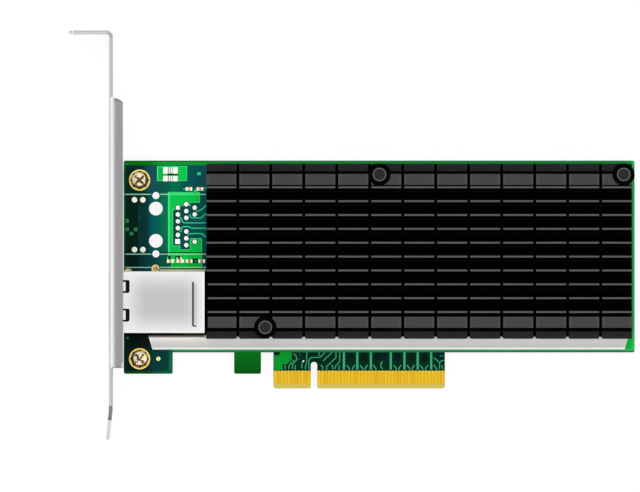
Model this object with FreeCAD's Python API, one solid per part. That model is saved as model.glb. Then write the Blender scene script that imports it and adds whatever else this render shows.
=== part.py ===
"""PCI Express x8 network interface card with one shielded RJ45 port.

The card lies on its back.  X runs along the board, away from the bracket, Y runs from the
contact edge towards the bracket's screw flange, and Z points out of the component side.
The origin is where the centre line of the key slot meets the contact edge, on the
component face of the board.  All sizes are millimetres.
"""
import FreeCAD, Part
import math
import os
from FreeCAD import Vector

# ---------------------------------------------------------------- printed circuit board
BOARD_THICKNESS = 1.57
BOARD_LEFT = -56.9            # edge beside the bracket, from the key slot
BOARD_LENGTH = 152.8
BOARD_BOTTOM = 10.8           # long lower edge, above the contact edge
BOARD_HEIGHT = 57.4           # from that edge to the upper edge
BOARD_CORNER = 0.5
FOOT_WIDTH = 14.65            # block below the jack that carries the lower bracket screw
FOOT_DEPTH = 6.4
HOOK_GAP = 3.7                # retention tab to the contact edge
HOOK_WIDTH = 8.05
HOOK_DEPTH = 6.4
EDGE_MARGIN = 0.65            # last contact's centre to the end of the contact edge
EDGE_CORNER = 0.75
EDGE_BEVEL_DEPTH = 0.95
EDGE_BEVEL_CUT = 0.4
KEY_WIDTH = 1.9
KEY_DEPTH = 7.95
KEY_MOUTH_ROUND = 0.5

# ---------------------------------------------------------------- gold edge contacts
CONTACT_PITCH = 1.0
CONTACT_WIDTH = 0.7
CONTACT_LENGTH = 4.4
CONTACT_THICKNESS = 0.06
CONTACTS_BEFORE_KEY = 11
CONTACTS_AFTER_KEY = 38
KEY_MARGIN = 0.2              # side of the key slot to the first contact

# ---------------------------------------------------------------- bracket
SHEET = 1.1
BRACKET_WIDTH = 18.42
BRACKET_BACK = -3.57          # back edge, below the component face
BRACKET_GAP = 3.25            # inner face of the plate to the board's edge
FLANGE_TOP = 106.95
FLANGE_LENGTH = 11.95
FLANGE_BEND = 1.5
NOTCH_WIDTH = 4.42
NOTCH_DEPTH = 5.2
NOTCH_FROM_TIP = 6.0
LIP_DEPTH = 3.1
LIP_BOTTOM = 6.6
LIP_TOP = 86.9
LIP_BEND = 0.8
LIP_END_RADIUS = 4.2          # arc in which each end of the lips falls away
SHOULDER_TOP = -5.3           # where the plate starts to narrow to the tongue
SHOULDER_DEPTH = 4.2
TONGUE_BEND = -6.3            # where the tongue turns outwards
TONGUE_TIP = -15.35
TONGUE_WIDTH = 10.19
TONGUE_LEAN = 0.97
EAR_WIDTH = 5.5
EAR_END = 2.75                # past the screw's centre
EAR_STEP_START = 1.0          # plate's inner face to the ear's step
EAR_STEP_LENGTH = 1.4
WINDOW_CLEARANCE = 0.3

# ---------------------------------------------------------------- bracket screws, washers
SCREW_FROM_EDGE = 4.73        # board's left edge to both screws
UPPER_SCREW_INSET = 5.85      # from the board's upper edge
LOWER_SCREW_INSET = 4.5       # from the foot's lower edge
SCREW_RADIUS = 1.25
SCREW_LENGTH = 4.0
SCREW_HOLE_CLEARANCE = 0.15
HEAD_RADIUS = 2.3
HEAD_HEIGHT = 1.7
RECESS_SPAN = 2.9
RECESS_WIDTH = 0.7
RECESS_DEPTH = 1.0
RECESS_TURN = 35
WASHER_RADIUS = 3.17
WASHER_THICKNESS = 0.6
WASHER_TEETH = 8
WASHER_SLOT_WIDTH = 0.6
WASHER_RIM = 0.4              # unbroken rim outside the slots between the teeth
WASHER_CLEARANCE = 0.1

# ---------------------------------------------------------------- RJ45 jack
PORT_PITCH = 23.1             # to the port that is left unfitted
JACK_BAR_GAP = 0.65
JACK_WIDTH = 18.5
JACK_HEIGHT = 13.4
JACK_LENGTH = 28.65
JACK_PROUD = 0.1              # past the bracket's outer face
SHIELD_SHEET = 0.3
SHIELD_BEND = 0.5
SHIELD_FIT = 0.05
FACE_FRAME = 0.9              # width of the shield's turned-in front frame
SPRING_FINGER_WIDTH = 2.75
SPRING_FINGER_PITCH = 8.56
SPRING_FINGER_OFFSET = 0.36
SPRING_FINGER_END = 5.1       # from the jack's front face
SPRING_SLOT = 1.2
SPRING_SLOT_SIDE = 0.57
GROOVE_FROM_BACK = 2.95
GROOVE_WIDTH = 1.5
GROOVE_LENGTH = 13.3
GROOVE_CORNER = 0.72
GROOVE_DEPTH = 0.18
GROOVE_SHIFT = 0.65           # towards the bar, from the port's centre line
GROUND_TAB_WIDTH = 1.4
GROUND_TAB_LENGTH = 2.3
GROUND_TAB_FROM_FRONT = 14.05
GROUND_HOLE_RADIUS = 1.08
GROUND_HOLE_INSET = 0.53      # side of the jack to the hole's centre
PEG_FROM_FRONT = 14.05
PEG_SPACING = 9.65
PEG_RADIUS = 1.95
PEG_LENGTH = 2.3
PEG_CLEARANCE = 0.1
CAVITY_WIDTH = 11.8
CAVITY_HEIGHT = 6.8
CAVITY_DEPTH = 14.0
CAVITY_ROOF = 1.85            # wall above the latch notch
HOUSING_BACK_WALL = 2.2
CAVITY_STEP_WIDTH = 6.4
CAVITY_STEP_HEIGHT = 1.4
LATCH_WIDTH = 3.6
LATCH_HEIGHT = 1.4
WIRE_COUNT = 8
WIRE_PITCH = 1.02
WIRE_WIDTH = 0.46
WIRE_THICKNESS = 0.3
WIRE_RISE = 2.4
WIRE_RUN = 8.0
WIRE_FROM_FRONT = 3.2
LIGHT_WIDTH = 3.0
LIGHT_HEIGHT = 2.2
LIGHT_INSET = 3.45            # side of the jack to the light pipe's centre
LIGHT_ROOF = 0.95             # wall above the light pipe
LIGHT_LENGTH = 12.0
LIGHT_CLEARANCE = 0.05
PIN_PITCH = 2.04
PIN_SIDE = 0.5
PIN_HOLE_RADIUS = 0.47
PIN_PROUD = 1.4               # below the board
PIN_COLUMN_FROM_BACK = 8.0    # first column to the jack's back
PIN_COLUMN_PITCH = 2.52
MAGNETICS_FOOT = 0.4          # height of the transformer block above the board
LIGHT_PIN_FROM_FRONT = 7.65
LIGHT_PIN_PITCH = 2.5
LIGHT_PIN_INSET = 1.8         # side of the jack to the light's pins

# ---------------------------------------------------------------- processor and its pad
CHIP_X = 4.0
CHIP_Y = 41.2
CHIP_SIDE = 25.0
CHIP_STANDOFF = 0.35          # height of the solder balls
SUBSTRATE_THICKNESS = 1.1
LID_INSET = 1.4
LID_THICKNESS = 1.15
LID_STEP = 0.5
PAD_SIDE = 22.0
PAD_THICKNESS = 0.4

# ---------------------------------------------------------------- heatsink
SINK_JACK_GAP = 0.55
SINK_RIGHT_INSET = 0.9        # from the board's edges
SINK_TOP_INSET = 1.0
SINK_BOTTOM_INSET = 4.1
JACK_RELIEF = 0.45            # step in the heatsink's end beside the jack
JACK_RELIEF_INSET = 0.45      # ends of the step from the jack's sides
PEDESTAL_SIDE = 27.0
PEDESTAL_HEIGHT = 0.8
BASE_THICKNESS = 2.5
FIN_HEIGHT = 6.4
FIN_THICKNESS = 0.73
FIN_COUNT = 10
FIRST_FIN_GAP = 1.05          # lower land to the first fin
LAST_FIN_GAP = 0.32           # last fin to the upper land
LAND_HEIGHT = 5.8
LAND_WIDTH = 3.3
LOWER_LAND_FROM_EDGE = 3.3
UPPER_LAND_FROM_EDGE = 3.05
LEDGE_HEIGHT = 1.6
LEDGE_WIDTH = 2.25
CROSS_SLOT = 0.8
CROSS_SLOT_PITCH = 9.85
FIRST_CROSS_SLOT = 9.4        # left end of the heatsink to the first slot's centre
SLOT_NICK_DEPTH = 0.65
SLOT_NICK_FLARE = 0.25
POCKET_CLEARANCE = 0.1

# ---------------------------------------------------------------- push pins and springs
LOWER_PIN_INSET = 3.45        # pins from the heatsink's long edges
UPPER_PIN_INSET = 3.2
LOWER_PIN_FROM_LEFT = 17.6    # pins from the heatsink's ends
MIDDLE_PIN_FROM_LEFT = 51.7
CORNER_PIN_FROM_RIGHT = 2.5
PIN_SHANK = 1.45
PIN_SHANK_CLEARANCE = 0.15
PIN_HEAD_RADIUS = 3.3
PIN_HEAD_THICKNESS = 1.1
PIN_HEAD_SINK = 0.5           # head's face below the fin tops
BUTTON_RADIUS = 2.0
BUTTON_HEIGHT = 0.5
BUTTON_DISH_RADIUS = 1.7
BUTTON_DISH_DEPTH = 0.2
BARB_RADIUS = 1.95
BARB_LENGTH = 2.4
BARB_TIP_RADIUS = 0.8
BARB_SLOT = 0.6
BARB_SLOT_TOP = 3.0
BOSS_RADIUS = 2.7
BOSS_BOARD_GAP = 0.25
SPRING_RADIUS = 2.15
SPRING_WIRE = 0.22
SPRING_TURNS = 2.5

# ---------------------------------------------------------------- stiffener bar
BAR_INSET = 0.8               # from the board's long lower edge
BAR_WIDTH = 4.4
BAR_LEFT_INSET = 7.3
BAR_RIGHT_INSET = 1.75
BAR_END_SLANT = 1.3
BAR_SINK_GAP = 0.8            # between the bar's top and the heatsink's underside
BAR_EDGE = 0.35
BAR_POST_RADIUS = 0.75
BAR_POST_COUNT = 5
BAR_POST_INSET = 8.0
BAR_POST_PROUD = 0.6
BAR_POST_CLEARANCE = 0.1
BAR_BOSS_CLEARANCE = 0.3      # round relief where a heatsink boss stands beside the bar

# ---------------------------------------------------------------- small parts
FLASH_PLACE = (-22.0, 34.0)
FLASH_LENGTH = 4.9
FLASH_WIDTH = 3.9
FLASH_HEIGHT = 1.5
FLASH_LEG_PITCH = 1.27
FLASH_LEGS_PER_SIDE = 4
LEG_WIDTH = 0.42
LEG_THICKNESS = 0.2
LEG_REACH = 1.05
LEG_STANDOFF = 0.15
CRYSTAL_PLACE = (-22.0, 45.0)
CRYSTAL_LENGTH = 5.0
CRYSTAL_WIDTH = 3.2
CRYSTAL_HEIGHT = 1.1
CRYSTAL_LID_INSET = 0.3
CRYSTAL_LID = 0.25
INDUCTOR_SIDE = 6.6
INDUCTOR_HEIGHT = 2.8
INDUCTOR_PLACES = ((40.0, 52.0), (40.0, 40.0), (40.0, 28.0))
REGULATOR_SIDE = 5.0
REGULATOR_HEIGHT = 0.9
REGULATOR_PLACES = ((50.0, 52.0), (50.0, 40.0), (50.0, 28.0))
BULK_LENGTH = 7.3
BULK_WIDTH = 4.3
BULK_HEIGHT = 2.0
BULK_FOOT = 0.9
BULK_TAPER = 0.25
BULK_PLACES = ((60.5, 52.0), (60.5, 46.0), (60.5, 34.0), (60.5, 28.0))
RESISTOR_SIZE = (1.9, 1.0, 0.45)
CAPACITOR_SIZE = (2.0, 1.25, 0.85)
DECOUPLER_SIZE = (1.0, 0.5, 0.5)
RESISTOR_PLACES = ((-37.4, 59.7), (-34.1, 59.7), (-43.0, 38.1), (-40.1, 38.1),
                   (-37.3, 38.1), (-33.6, 38.1))
RESISTOR_COLUMN = (70.0, 22.0)                # x, first y
RESISTOR_PITCH = 2.6
RESISTOR_COUNT = 10
CAPACITOR_COLUMN = (-27.0, 24.0)
CAPACITOR_PITCH = 3.4
CAPACITOR_COUNT = 9
DECOUPLER_COLUMNS = 6
DECOUPLER_ROWS = 5
DECOUPLER_PITCH = 2.6                         # grid under the processor

# ---------------------------------------------------------------- fineness of small rounds
FINE_ROUND = 0.7
SMALL_ROUND_SIDES = 12
PIN_HOLE_SIDES = 6
BROAD_ROUND_SIDES = 24
COIL_STEPS_PER_TURN = 10
COIL_WIRE_SIDES = 5

# ---------------------------------------------------------------- values worked out above
BOARD_BACK = -BOARD_THICKNESS
BOARD_TOP = BOARD_BOTTOM + BOARD_HEIGHT
BOARD_RIGHT = BOARD_LEFT + BOARD_LENGTH
FOOT_BOTTOM = BOARD_BOTTOM - FOOT_DEPTH
FIRST_CONTACT = KEY_WIDTH / 2 + KEY_MARGIN + CONTACT_WIDTH / 2
EDGE_LEFT = -FIRST_CONTACT - (CONTACTS_BEFORE_KEY - 1) * CONTACT_PITCH - EDGE_MARGIN
EDGE_RIGHT = FIRST_CONTACT + (CONTACTS_AFTER_KEY - 1) * CONTACT_PITCH + EDGE_MARGIN
HOOK_RIGHT = EDGE_LEFT - HOOK_GAP
PLATE_INNER = BOARD_LEFT - BRACKET_GAP
PLATE_OUTER = PLATE_INNER - SHEET
BRACKET_FRONT = BRACKET_BACK + BRACKET_WIDTH
SCREW_X = BOARD_LEFT + SCREW_FROM_EDGE
SCREW_PLACES = ((SCREW_X, FOOT_BOTTOM + LOWER_SCREW_INSET),
                (SCREW_X, BOARD_TOP - UPPER_SCREW_INSET))
BAR_BOTTOM = BOARD_BOTTOM + BAR_INSET
BAR_TOP_EDGE = BAR_BOTTOM + BAR_WIDTH
BAR_LEFT = BOARD_LEFT + BAR_LEFT_INSET
BAR_RIGHT = BOARD_RIGHT - BAR_RIGHT_INSET
PORT_Y = BAR_TOP_EDGE + JACK_BAR_GAP + JACK_WIDTH / 2
JACK_FRONT = PLATE_OUTER - JACK_PROUD
JACK_BACK = JACK_FRONT + JACK_LENGTH
CORE_FRONT = JACK_FRONT + SHIELD_SHEET + SHIELD_FIT
CORE_BACK = JACK_BACK - SHIELD_SHEET - SHIELD_FIT
CORE_SIDE = JACK_WIDTH / 2 - SHIELD_SHEET - SHIELD_FIT
CORE_TOP = JACK_HEIGHT - SHIELD_SHEET - SHIELD_FIT
HOUSING_BACK = CORE_FRONT + CAVITY_DEPTH + HOUSING_BACK_WALL
LATCH_TOP = CORE_TOP - CAVITY_ROOF
CAVITY_FLOOR = LATCH_TOP - LATCH_HEIGHT - CAVITY_STEP_HEIGHT - CAVITY_HEIGHT
LIGHT_BOTTOM = CORE_TOP - LIGHT_ROOF - LIGHT_HEIGHT
SUBSTRATE_TOP = CHIP_STANDOFF + SUBSTRATE_THICKNESS
CHIP_TOP = SUBSTRATE_TOP + LID_THICKNESS
SINK_SEAT = CHIP_TOP + PAD_THICKNESS
SINK_UNDERSIDE = SINK_SEAT + PEDESTAL_HEIGHT
BASE_TOP = SINK_UNDERSIDE + BASE_THICKNESS
SINK_TOP = BASE_TOP + FIN_HEIGHT
SINK_LEFT = JACK_BACK + SINK_JACK_GAP
SINK_RIGHT = BOARD_RIGHT - SINK_RIGHT_INSET
SINK_BOTTOM = BOARD_BOTTOM + SINK_BOTTOM_INSET
SINK_UPPER_EDGE = BOARD_TOP - SINK_TOP_INSET
PIN_PLACES = ((SINK_LEFT + LOWER_PIN_FROM_LEFT, SINK_BOTTOM + LOWER_PIN_INSET),
              (SINK_LEFT + MIDDLE_PIN_FROM_LEFT, SINK_UPPER_EDGE - UPPER_PIN_INSET),
              (SINK_RIGHT - CORNER_PIN_FROM_RIGHT, SINK_UPPER_EDGE - UPPER_PIN_INSET))
HEAD_TOP = SINK_TOP - PIN_HEAD_SINK
HEAD_UNDERSIDE = HEAD_TOP - PIN_HEAD_THICKNESS
BAR_HEIGHT = SINK_UNDERSIDE - BAR_SINK_GAP


# ================================================================ drawing helpers
def box(x0, x1, y0, y1, z0, z1):
    return Part.makeBox(x1 - x0, y1 - y0, z1 - z0, Vector(x0, y0, z0))


def block(x, y, z, length, width, height):
    """Box centred on x, y and standing on z."""
    return box(x - length / 2, x + length / 2, y - width / 2, y + width / 2, z, z + height)


def post(x, y, z0, z1, radius):
    return Part.makeCylinder(radius, z1 - z0, Vector(x, y, z0))


def ring_of_points(x, y, z, radius, sides):
    """Closed polygon of that many sides round a vertical axis."""
    points = []
    for index in range(sides + 1):
        angle = 2 * math.pi * (index + 0.5) / sides
        points.append(Vector(x + radius * math.cos(angle), y + radius * math.sin(angle), z))
    return Part.makePolygon(points)


def small_post(x, y, z0, z1, radius, sides=SMALL_ROUND_SIDES):
    """Post for a small or hidden round, with few sides."""
    face = Part.Face(ring_of_points(x, y, z0, radius, sides))
    return face.extrude(Vector(0, 0, z1 - z0))


def frustum(x, y, rings, sides):
    """Solid through flat-sided rings given as (z, radius), from the bottom up."""
    wires = [ring_of_points(x, y, z, radius, sides) for z, radius in rings]
    return Part.makeLoft(wires, True, True)


def joined(shapes):
    return shapes[0].fuse(shapes[1:]).removeSplitter() if len(shapes) > 1 else shapes[0]


def cut(body, tools):
    return body.cut(Part.makeCompound(tools))


def outline(corners):
    """Closed wire in XY through (x, y, radius) corners, with an arc at each rounded one.

    A corner finer than FINE_ROUND gets two chords instead of its arc.
    """
    edges = []
    joints = []
    count = len(corners)
    for index, (x, y, radius) in enumerate(corners):
        here = Vector(x, y, 0)
        before = Vector(*corners[index - 1][:2], 0) - here
        after = Vector(*corners[(index + 1) % count][:2], 0) - here
        before.normalize()
        after.normalize()
        if radius <= 0:
            joints.append((here, here))
            continue
        half = before.getAngle(after) / 2
        start = here + before * (radius / math.tan(half))
        end = here + after * (radius / math.tan(half))
        bisector = before + after
        bisector.normalize()
        middle = here + bisector * (radius / math.sin(half) - radius)
        if radius < FINE_ROUND:
            edges += [Part.makeLine(start, middle), Part.makeLine(middle, end)]
        else:
            edges.append(Part.Arc(start, middle, end).toShape())
        joints.append((start, end))
    for index, (start, _) in enumerate(joints):
        leaving = joints[index - 1][1]
        if leaving.distanceToPoint(start) > 1e-6:
            edges.append(Part.makeLine(leaving, start))
    return Part.Wire(Part.__sortEdges__(edges))


def square(points):
    """Corner list without any rounding."""
    return [(x, y, 0) for x, y in points]


def plate_xy(corners, z0, z1):
    """Outline drawn in XY, extruded from z0 to z1."""
    solid = Part.Face(outline(corners)).extrude(Vector(0, 0, z1 - z0))
    solid.translate(Vector(0, 0, z0))
    return solid


def plate_yz(corners, x0, x1):
    """Outline drawn as (y, z), extruded from x0 to x1."""
    solid = Part.Face(outline(corners)).extrude(Vector(0, 0, x1 - x0))
    turn = FreeCAD.Rotation(Vector(1, 1, 1), 120)
    solid.Placement = FreeCAD.Placement(Vector(x0, 0, 0), turn)
    return solid


def plate_xz(corners, y0, y1):
    """Outline drawn as (x, z), extruded from y0 to y1."""
    solid = Part.Face(outline(corners)).extrude(Vector(0, 0, y1 - y0))
    turn = FreeCAD.Rotation(Vector(1, 0, 0), 90)
    solid.Placement = FreeCAD.Placement(Vector(0, y1, 0), turn)
    return solid


def save(name, solids):
    shape = solids[0] if len(solids) == 1 else Part.makeCompound(solids)
    shape.exportStep("parts/" + name + ".step")
    print(name, len(shape.Solids), shape.isValid())


# ================================================================ shared layouts
def pin_offsets():
    """Places of the jack's fifteen pins: column number, and distance from the port's centre."""
    first = [(0, (row - 2.5) * PIN_PITCH) for row in range(6)]
    second = [(1, row * PIN_PITCH) for row in (-3, -2, -1, 1, 2, 3)]
    third = [(2, row * PIN_PITCH) for row in (-2.5, 1.5, 2.5)]
    return first + second + third


def pin_places(port_y):
    first = JACK_BACK - PIN_COLUMN_FROM_BACK
    return [(first + column * PIN_COLUMN_PITCH, port_y + offset)
            for column, offset in pin_offsets()]


def peg_places(port_y):
    x = JACK_FRONT + PEG_FROM_FRONT
    return [(x, port_y - PEG_SPACING / 2), (x, port_y + PEG_SPACING / 2)]


def ground_places(port_y, inset):
    """One place by each side of the jack, inset from that side."""
    x = JACK_FRONT + GROUND_TAB_FROM_FRONT
    reach = JACK_WIDTH / 2 - inset
    return [(x, port_y - reach), (x, port_y + reach)]


def light_pin_places(port_y):
    first = JACK_FRONT + LIGHT_PIN_FROM_FRONT
    reach = JACK_WIDTH / 2 - LIGHT_PIN_INSET
    return [(first + step * LIGHT_PIN_PITCH, port_y + side * reach)
            for side in (-1, 1) for step in (0, 1)]


def bar_post_places():
    first = BAR_LEFT + BAR_POST_INSET
    step = (BAR_RIGHT - BAR_LEFT - 2 * BAR_POST_INSET) / (BAR_POST_COUNT - 1)
    y = BAR_BOTTOM + BAR_WIDTH / 2
    return [(first + index * step, y) for index in range(BAR_POST_COUNT)]


def contact_places():
    before = [-FIRST_CONTACT - index * CONTACT_PITCH for index in range(CONTACTS_BEFORE_KEY)]
    after = [FIRST_CONTACT + index * CONTACT_PITCH for index in range(CONTACTS_AFTER_KEY)]
    return sorted(before) + after


# ================================================================ board and contacts
def circuit_board():
    foot_right = BOARD_LEFT + FOOT_WIDTH
    hook_bottom = BOARD_BOTTOM - HOOK_DEPTH
    corner = BOARD_CORNER
    corners = [
        (BOARD_LEFT, BOARD_TOP, corner),
        (BOARD_LEFT, FOOT_BOTTOM, corner),
        (foot_right, FOOT_BOTTOM, corner),
        (foot_right, BOARD_BOTTOM, 0),
        (HOOK_RIGHT - HOOK_WIDTH, BOARD_BOTTOM, 0),
        (HOOK_RIGHT - HOOK_WIDTH, hook_bottom, corner),
        (HOOK_RIGHT, hook_bottom, corner),
        (HOOK_RIGHT, BOARD_BOTTOM, 0),
        (EDGE_LEFT, BOARD_BOTTOM, 0),
        (EDGE_LEFT, 0, EDGE_CORNER),
        (-KEY_WIDTH / 2, 0, KEY_MOUTH_ROUND),
        (-KEY_WIDTH / 2, KEY_DEPTH, KEY_WIDTH / 2),
        (KEY_WIDTH / 2, KEY_DEPTH, KEY_WIDTH / 2),
        (KEY_WIDTH / 2, 0, KEY_MOUTH_ROUND),
        (EDGE_RIGHT, 0, EDGE_CORNER),
        (EDGE_RIGHT, BOARD_BOTTOM, 0),
        (BOARD_RIGHT, BOARD_BOTTOM, corner),
        (BOARD_RIGHT, BOARD_TOP, corner),
    ]
    board = plate_xy(corners, BOARD_BACK, 0)
    tools = edge_bevels()
    for (x, y), radius, sides in board_holes():
        tools.append(small_post(x, y, BOARD_BACK, 0, radius, sides))
    return [cut(board, tools)]


def board_holes():
    """Every drilled hole: place, radius and number of sides."""
    few = SMALL_ROUND_SIDES
    holes = [(place, SCREW_RADIUS + SCREW_HOLE_CLEARANCE, few) for place in SCREW_PLACES]
    holes += [(place, PIN_SHANK + PIN_SHANK_CLEARANCE, few) for place in PIN_PLACES]
    holes += [(place, BAR_POST_RADIUS + BAR_POST_CLEARANCE, few) for place in bar_post_places()]
    for port_y in (PORT_Y, PORT_Y + PORT_PITCH):
        pegs = peg_places(port_y)
        holes += [(place, PEG_RADIUS + PEG_CLEARANCE, BROAD_ROUND_SIDES) for place in pegs]
        grounds = ground_places(port_y, GROUND_HOLE_INSET)
        holes += [(place, GROUND_HOLE_RADIUS, few) for place in grounds]
        small = pin_places(port_y) + light_pin_places(port_y)
        holes += [(place, PIN_HOLE_RADIUS, PIN_HOLE_SIDES) for place in small]
    return holes


def edge_bevels():
    """The two wedges that thin the contact edge for its connector."""
    wedges = []
    for face, inward in ((0, -1), (BOARD_BACK, 1)):
        wedge = [(0, face), (0, face + inward * EDGE_BEVEL_CUT), (EDGE_BEVEL_DEPTH, face)]
        wedges.append(plate_yz(square(wedge), EDGE_LEFT, EDGE_RIGHT))
    return wedges


def edge_contacts(z0):
    z1 = z0 + CONTACT_THICKNESS
    low = EDGE_BEVEL_DEPTH
    return [box(x - CONTACT_WIDTH / 2, x + CONTACT_WIDTH / 2, low, low + CONTACT_LENGTH, z0, z1)
            for x in contact_places()]


# ================================================================ bracket
def bracket_side_profile():
    """Sheet seen edge on, in XY: screw flange, plate and outward-leaning tongue."""
    tip_radius = 0.45 * SHEET
    outer, inner, lean = PLATE_OUTER, PLATE_INNER, TONGUE_LEAN
    flange_tip = outer - FLANGE_LENGTH
    return [
        (inner, FLANGE_TOP, FLANGE_BEND),
        (flange_tip, FLANGE_TOP, tip_radius),
        (flange_tip, FLANGE_TOP - SHEET, tip_radius),
        (outer, FLANGE_TOP - SHEET, 0),
        (outer, TONGUE_BEND, 0),
        (outer - lean, TONGUE_TIP, tip_radius),
        (inner - lean, TONGUE_TIP, tip_radius),
        (inner, TONGUE_BEND, 0),
    ]


def bracket_front_profile():
    """Outline of the flattened plate, as (y, z), with the shoulders of the tongue."""
    middle = (BRACKET_BACK + BRACKET_FRONT) / 2
    half = TONGUE_WIDTH / 2
    shoulder = SHOULDER_TOP - SHOULDER_DEPTH
    return [
        (FLANGE_TOP, BRACKET_BACK, 0),
        (FLANGE_TOP, BRACKET_FRONT, 0),
        (SHOULDER_TOP, BRACKET_FRONT, 0.8),
        (shoulder, middle + half, 0.8),
        (TONGUE_TIP, middle + half, 1.5),
        (TONGUE_TIP, middle - half, 1.5),
        (shoulder, middle - half, 0.8),
        (SHOULDER_TOP, BRACKET_BACK, 0.8),
    ]


def bracket_lips():
    """Channel section along the middle of the plate: both long edges turned inwards."""
    end = PLATE_INNER + LIP_DEPTH
    back, front = BRACKET_BACK, BRACKET_FRONT
    section = [
        (PLATE_OUTER, back, LIP_BEND),
        (end, back, 0),
        (end, back + SHEET, 0),
        (PLATE_INNER, back + SHEET, 0),
        (PLATE_INNER, front - SHEET, 0),
        (end, front - SHEET, 0),
        (end, front, 0),
        (PLATE_OUTER, front, LIP_BEND),
    ]
    channel = plate_xz(section, LIP_BOTTOM, LIP_TOP)
    return channel.common(lip_plan())


def lip_plan():
    """Outline of the lips seen from the front, with both ends falling away in an arc."""
    low, high = LIP_BOTTOM + LIP_END_RADIUS, LIP_TOP - LIP_END_RADIUS
    straight = box(PLATE_OUTER, PLATE_INNER + LIP_DEPTH, low, high, BRACKET_BACK, BRACKET_FRONT)
    ends = [post(PLATE_INNER, y, BRACKET_BACK, BRACKET_FRONT, LIP_END_RADIUS)
            for y in (low, high)]
    return straight.fuse(ends)


def bracket_ear(x, y):
    """Ear under the board: leaves the back lip, steps up to the board and takes a screw."""
    lip_low = BRACKET_BACK
    ear_high = BOARD_BACK
    ear_low = ear_high - SHEET
    step_start = PLATE_INNER + EAR_STEP_START
    step_end = step_start + EAR_STEP_LENGTH
    end = x + EAR_END
    profile = [
        (PLATE_INNER - SHEET / 2, lip_low, 0),
        (step_start, lip_low, 0),
        (step_end, ear_low, 0),
        (end, ear_low, 0),
        (end, ear_high, 0),
        (step_end, ear_high, 0),
        (step_start, lip_low + SHEET, 0),
        (PLATE_INNER - SHEET / 2, lip_low + SHEET, 0),
    ]
    ear = plate_xz(profile, y - EAR_WIDTH / 2, y + EAR_WIDTH / 2)
    plan = [
        (PLATE_INNER - SHEET / 2, y - EAR_WIDTH / 2, 0),
        (end, y - EAR_WIDTH / 2, EAR_WIDTH * 0.49),
        (end, y + EAR_WIDTH / 2, EAR_WIDTH * 0.49),
        (PLATE_INNER - SHEET / 2, y + EAR_WIDTH / 2, 0),
    ]
    return ear.common(plate_xy(plan, BRACKET_BACK, ear_high))


def flange_notch():
    """Open slot for the chassis screw, cut into the flange from its back edge."""
    x = PLATE_OUTER - FLANGE_LENGTH + NOTCH_FROM_TIP
    radius = NOTCH_WIDTH / 2
    z_round = BRACKET_BACK + NOTCH_DEPTH - radius
    low, high = FLANGE_TOP - SHEET, FLANGE_TOP
    slot = box(x - radius, x + radius, low, high, BRACKET_BACK, z_round)
    end = Part.makeCylinder(radius, SHEET, Vector(x, low, z_round), Vector(0, 1, 0))
    return slot.fuse(end)


def jack_window():
    gap = WINDOW_CLEARANCE
    half = JACK_WIDTH / 2 + gap
    corners = [
        (PORT_Y - half, -gap, 0.6),
        (PORT_Y + half, -gap, 0.6),
        (PORT_Y + half, JACK_HEIGHT + gap, 0.6),
        (PORT_Y - half, JACK_HEIGHT + gap, 0.6),
    ]
    return plate_yz(corners, PLATE_OUTER, PLATE_INNER)


def io_bracket():
    side = plate_xy(bracket_side_profile(), BRACKET_BACK, BRACKET_FRONT)
    flange_tip = PLATE_OUTER - FLANGE_LENGTH
    front = plate_yz(bracket_front_profile(), flange_tip, PLATE_INNER)
    sheet = side.common(front)
    ears = [bracket_ear(x, y) for x, y in SCREW_PLACES]
    body = joined([sheet, bracket_lips()] + ears)
    threads = [small_post(x, y, BOARD_BACK - SHEET, BOARD_BACK, SCREW_RADIUS)
               for x, y in SCREW_PLACES]
    body = cut(body, threads + [flange_notch(), jack_window()])
    return [cut(body, bend_reliefs())]


def bend_reliefs():
    """Rounded outer corners where the plate turns into its lips."""
    tools = []
    for z, inward in ((BRACKET_BACK, 1), (BRACKET_FRONT, -1)):
        centre_x = PLATE_OUTER + LIP_BEND
        centre_z = z + inward * LIP_BEND
        low_z = min(z, centre_z)
        corner = box(PLATE_OUTER, centre_x, LIP_BOTTOM, LIP_TOP, low_z, low_z + LIP_BEND)
        rod = Part.makeCylinder(LIP_BEND, LIP_TOP - LIP_BOTTOM,
                                Vector(centre_x, LIP_BOTTOM, centre_z), Vector(0, 1, 0))
        tools.append(corner.cut(rod))
    return tools


# ================================================================ screws and washers
def bracket_screw(x, y):
    """Pan head screw: bevelled tip, plain shank, domed head with a cross recess."""
    seat = WASHER_THICKNESS
    tip = seat - SCREW_LENGTH
    top = seat + HEAD_HEIGHT
    shank = small_post(x, y, tip, seat, SCREW_RADIUS)
    dome = [(seat, HEAD_RADIUS), (seat + 0.55 * HEAD_HEIGHT, HEAD_RADIUS),
            (seat + 0.85 * HEAD_HEIGHT, 0.86 * HEAD_RADIUS), (top, 0.5 * HEAD_RADIUS)]
    screw = joined([shank, frustum(x, y, dome, BROAD_ROUND_SIDES)])
    half, arm = RECESS_SPAN / 2, RECESS_WIDTH / 2
    floor = top - RECESS_DEPTH
    across = box(x - half, x + half, y - arm, y + arm, floor, top)
    along = box(x - arm, x + arm, y - half, y + half, floor, top)
    cross = across.fuse(along)
    cross.rotate(Vector(x, y, 0), Vector(0, 0, 1), RECESS_TURN)
    return screw.cut(cross)


def lock_washer(x, y):
    """Internal-tooth washer: slots run outwards from its hole and leave teeth between them."""
    ring = small_post(x, y, 0, WASHER_THICKNESS, WASHER_RADIUS, BROAD_ROUND_SIDES)
    tools = [small_post(x, y, 0, WASHER_THICKNESS, SCREW_RADIUS + WASHER_CLEARANCE)]
    reach = WASHER_RADIUS - WASHER_RIM
    half = WASHER_SLOT_WIDTH / 2
    for index in range(WASHER_TEETH):
        slot = box(x, x + reach, y - half, y + half, 0, WASHER_THICKNESS)
        slot.rotate(Vector(x, y, 0), Vector(0, 0, 1), 360 * index / WASHER_TEETH)
        tools.append(slot)
    return cut(ring, tools)


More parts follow.
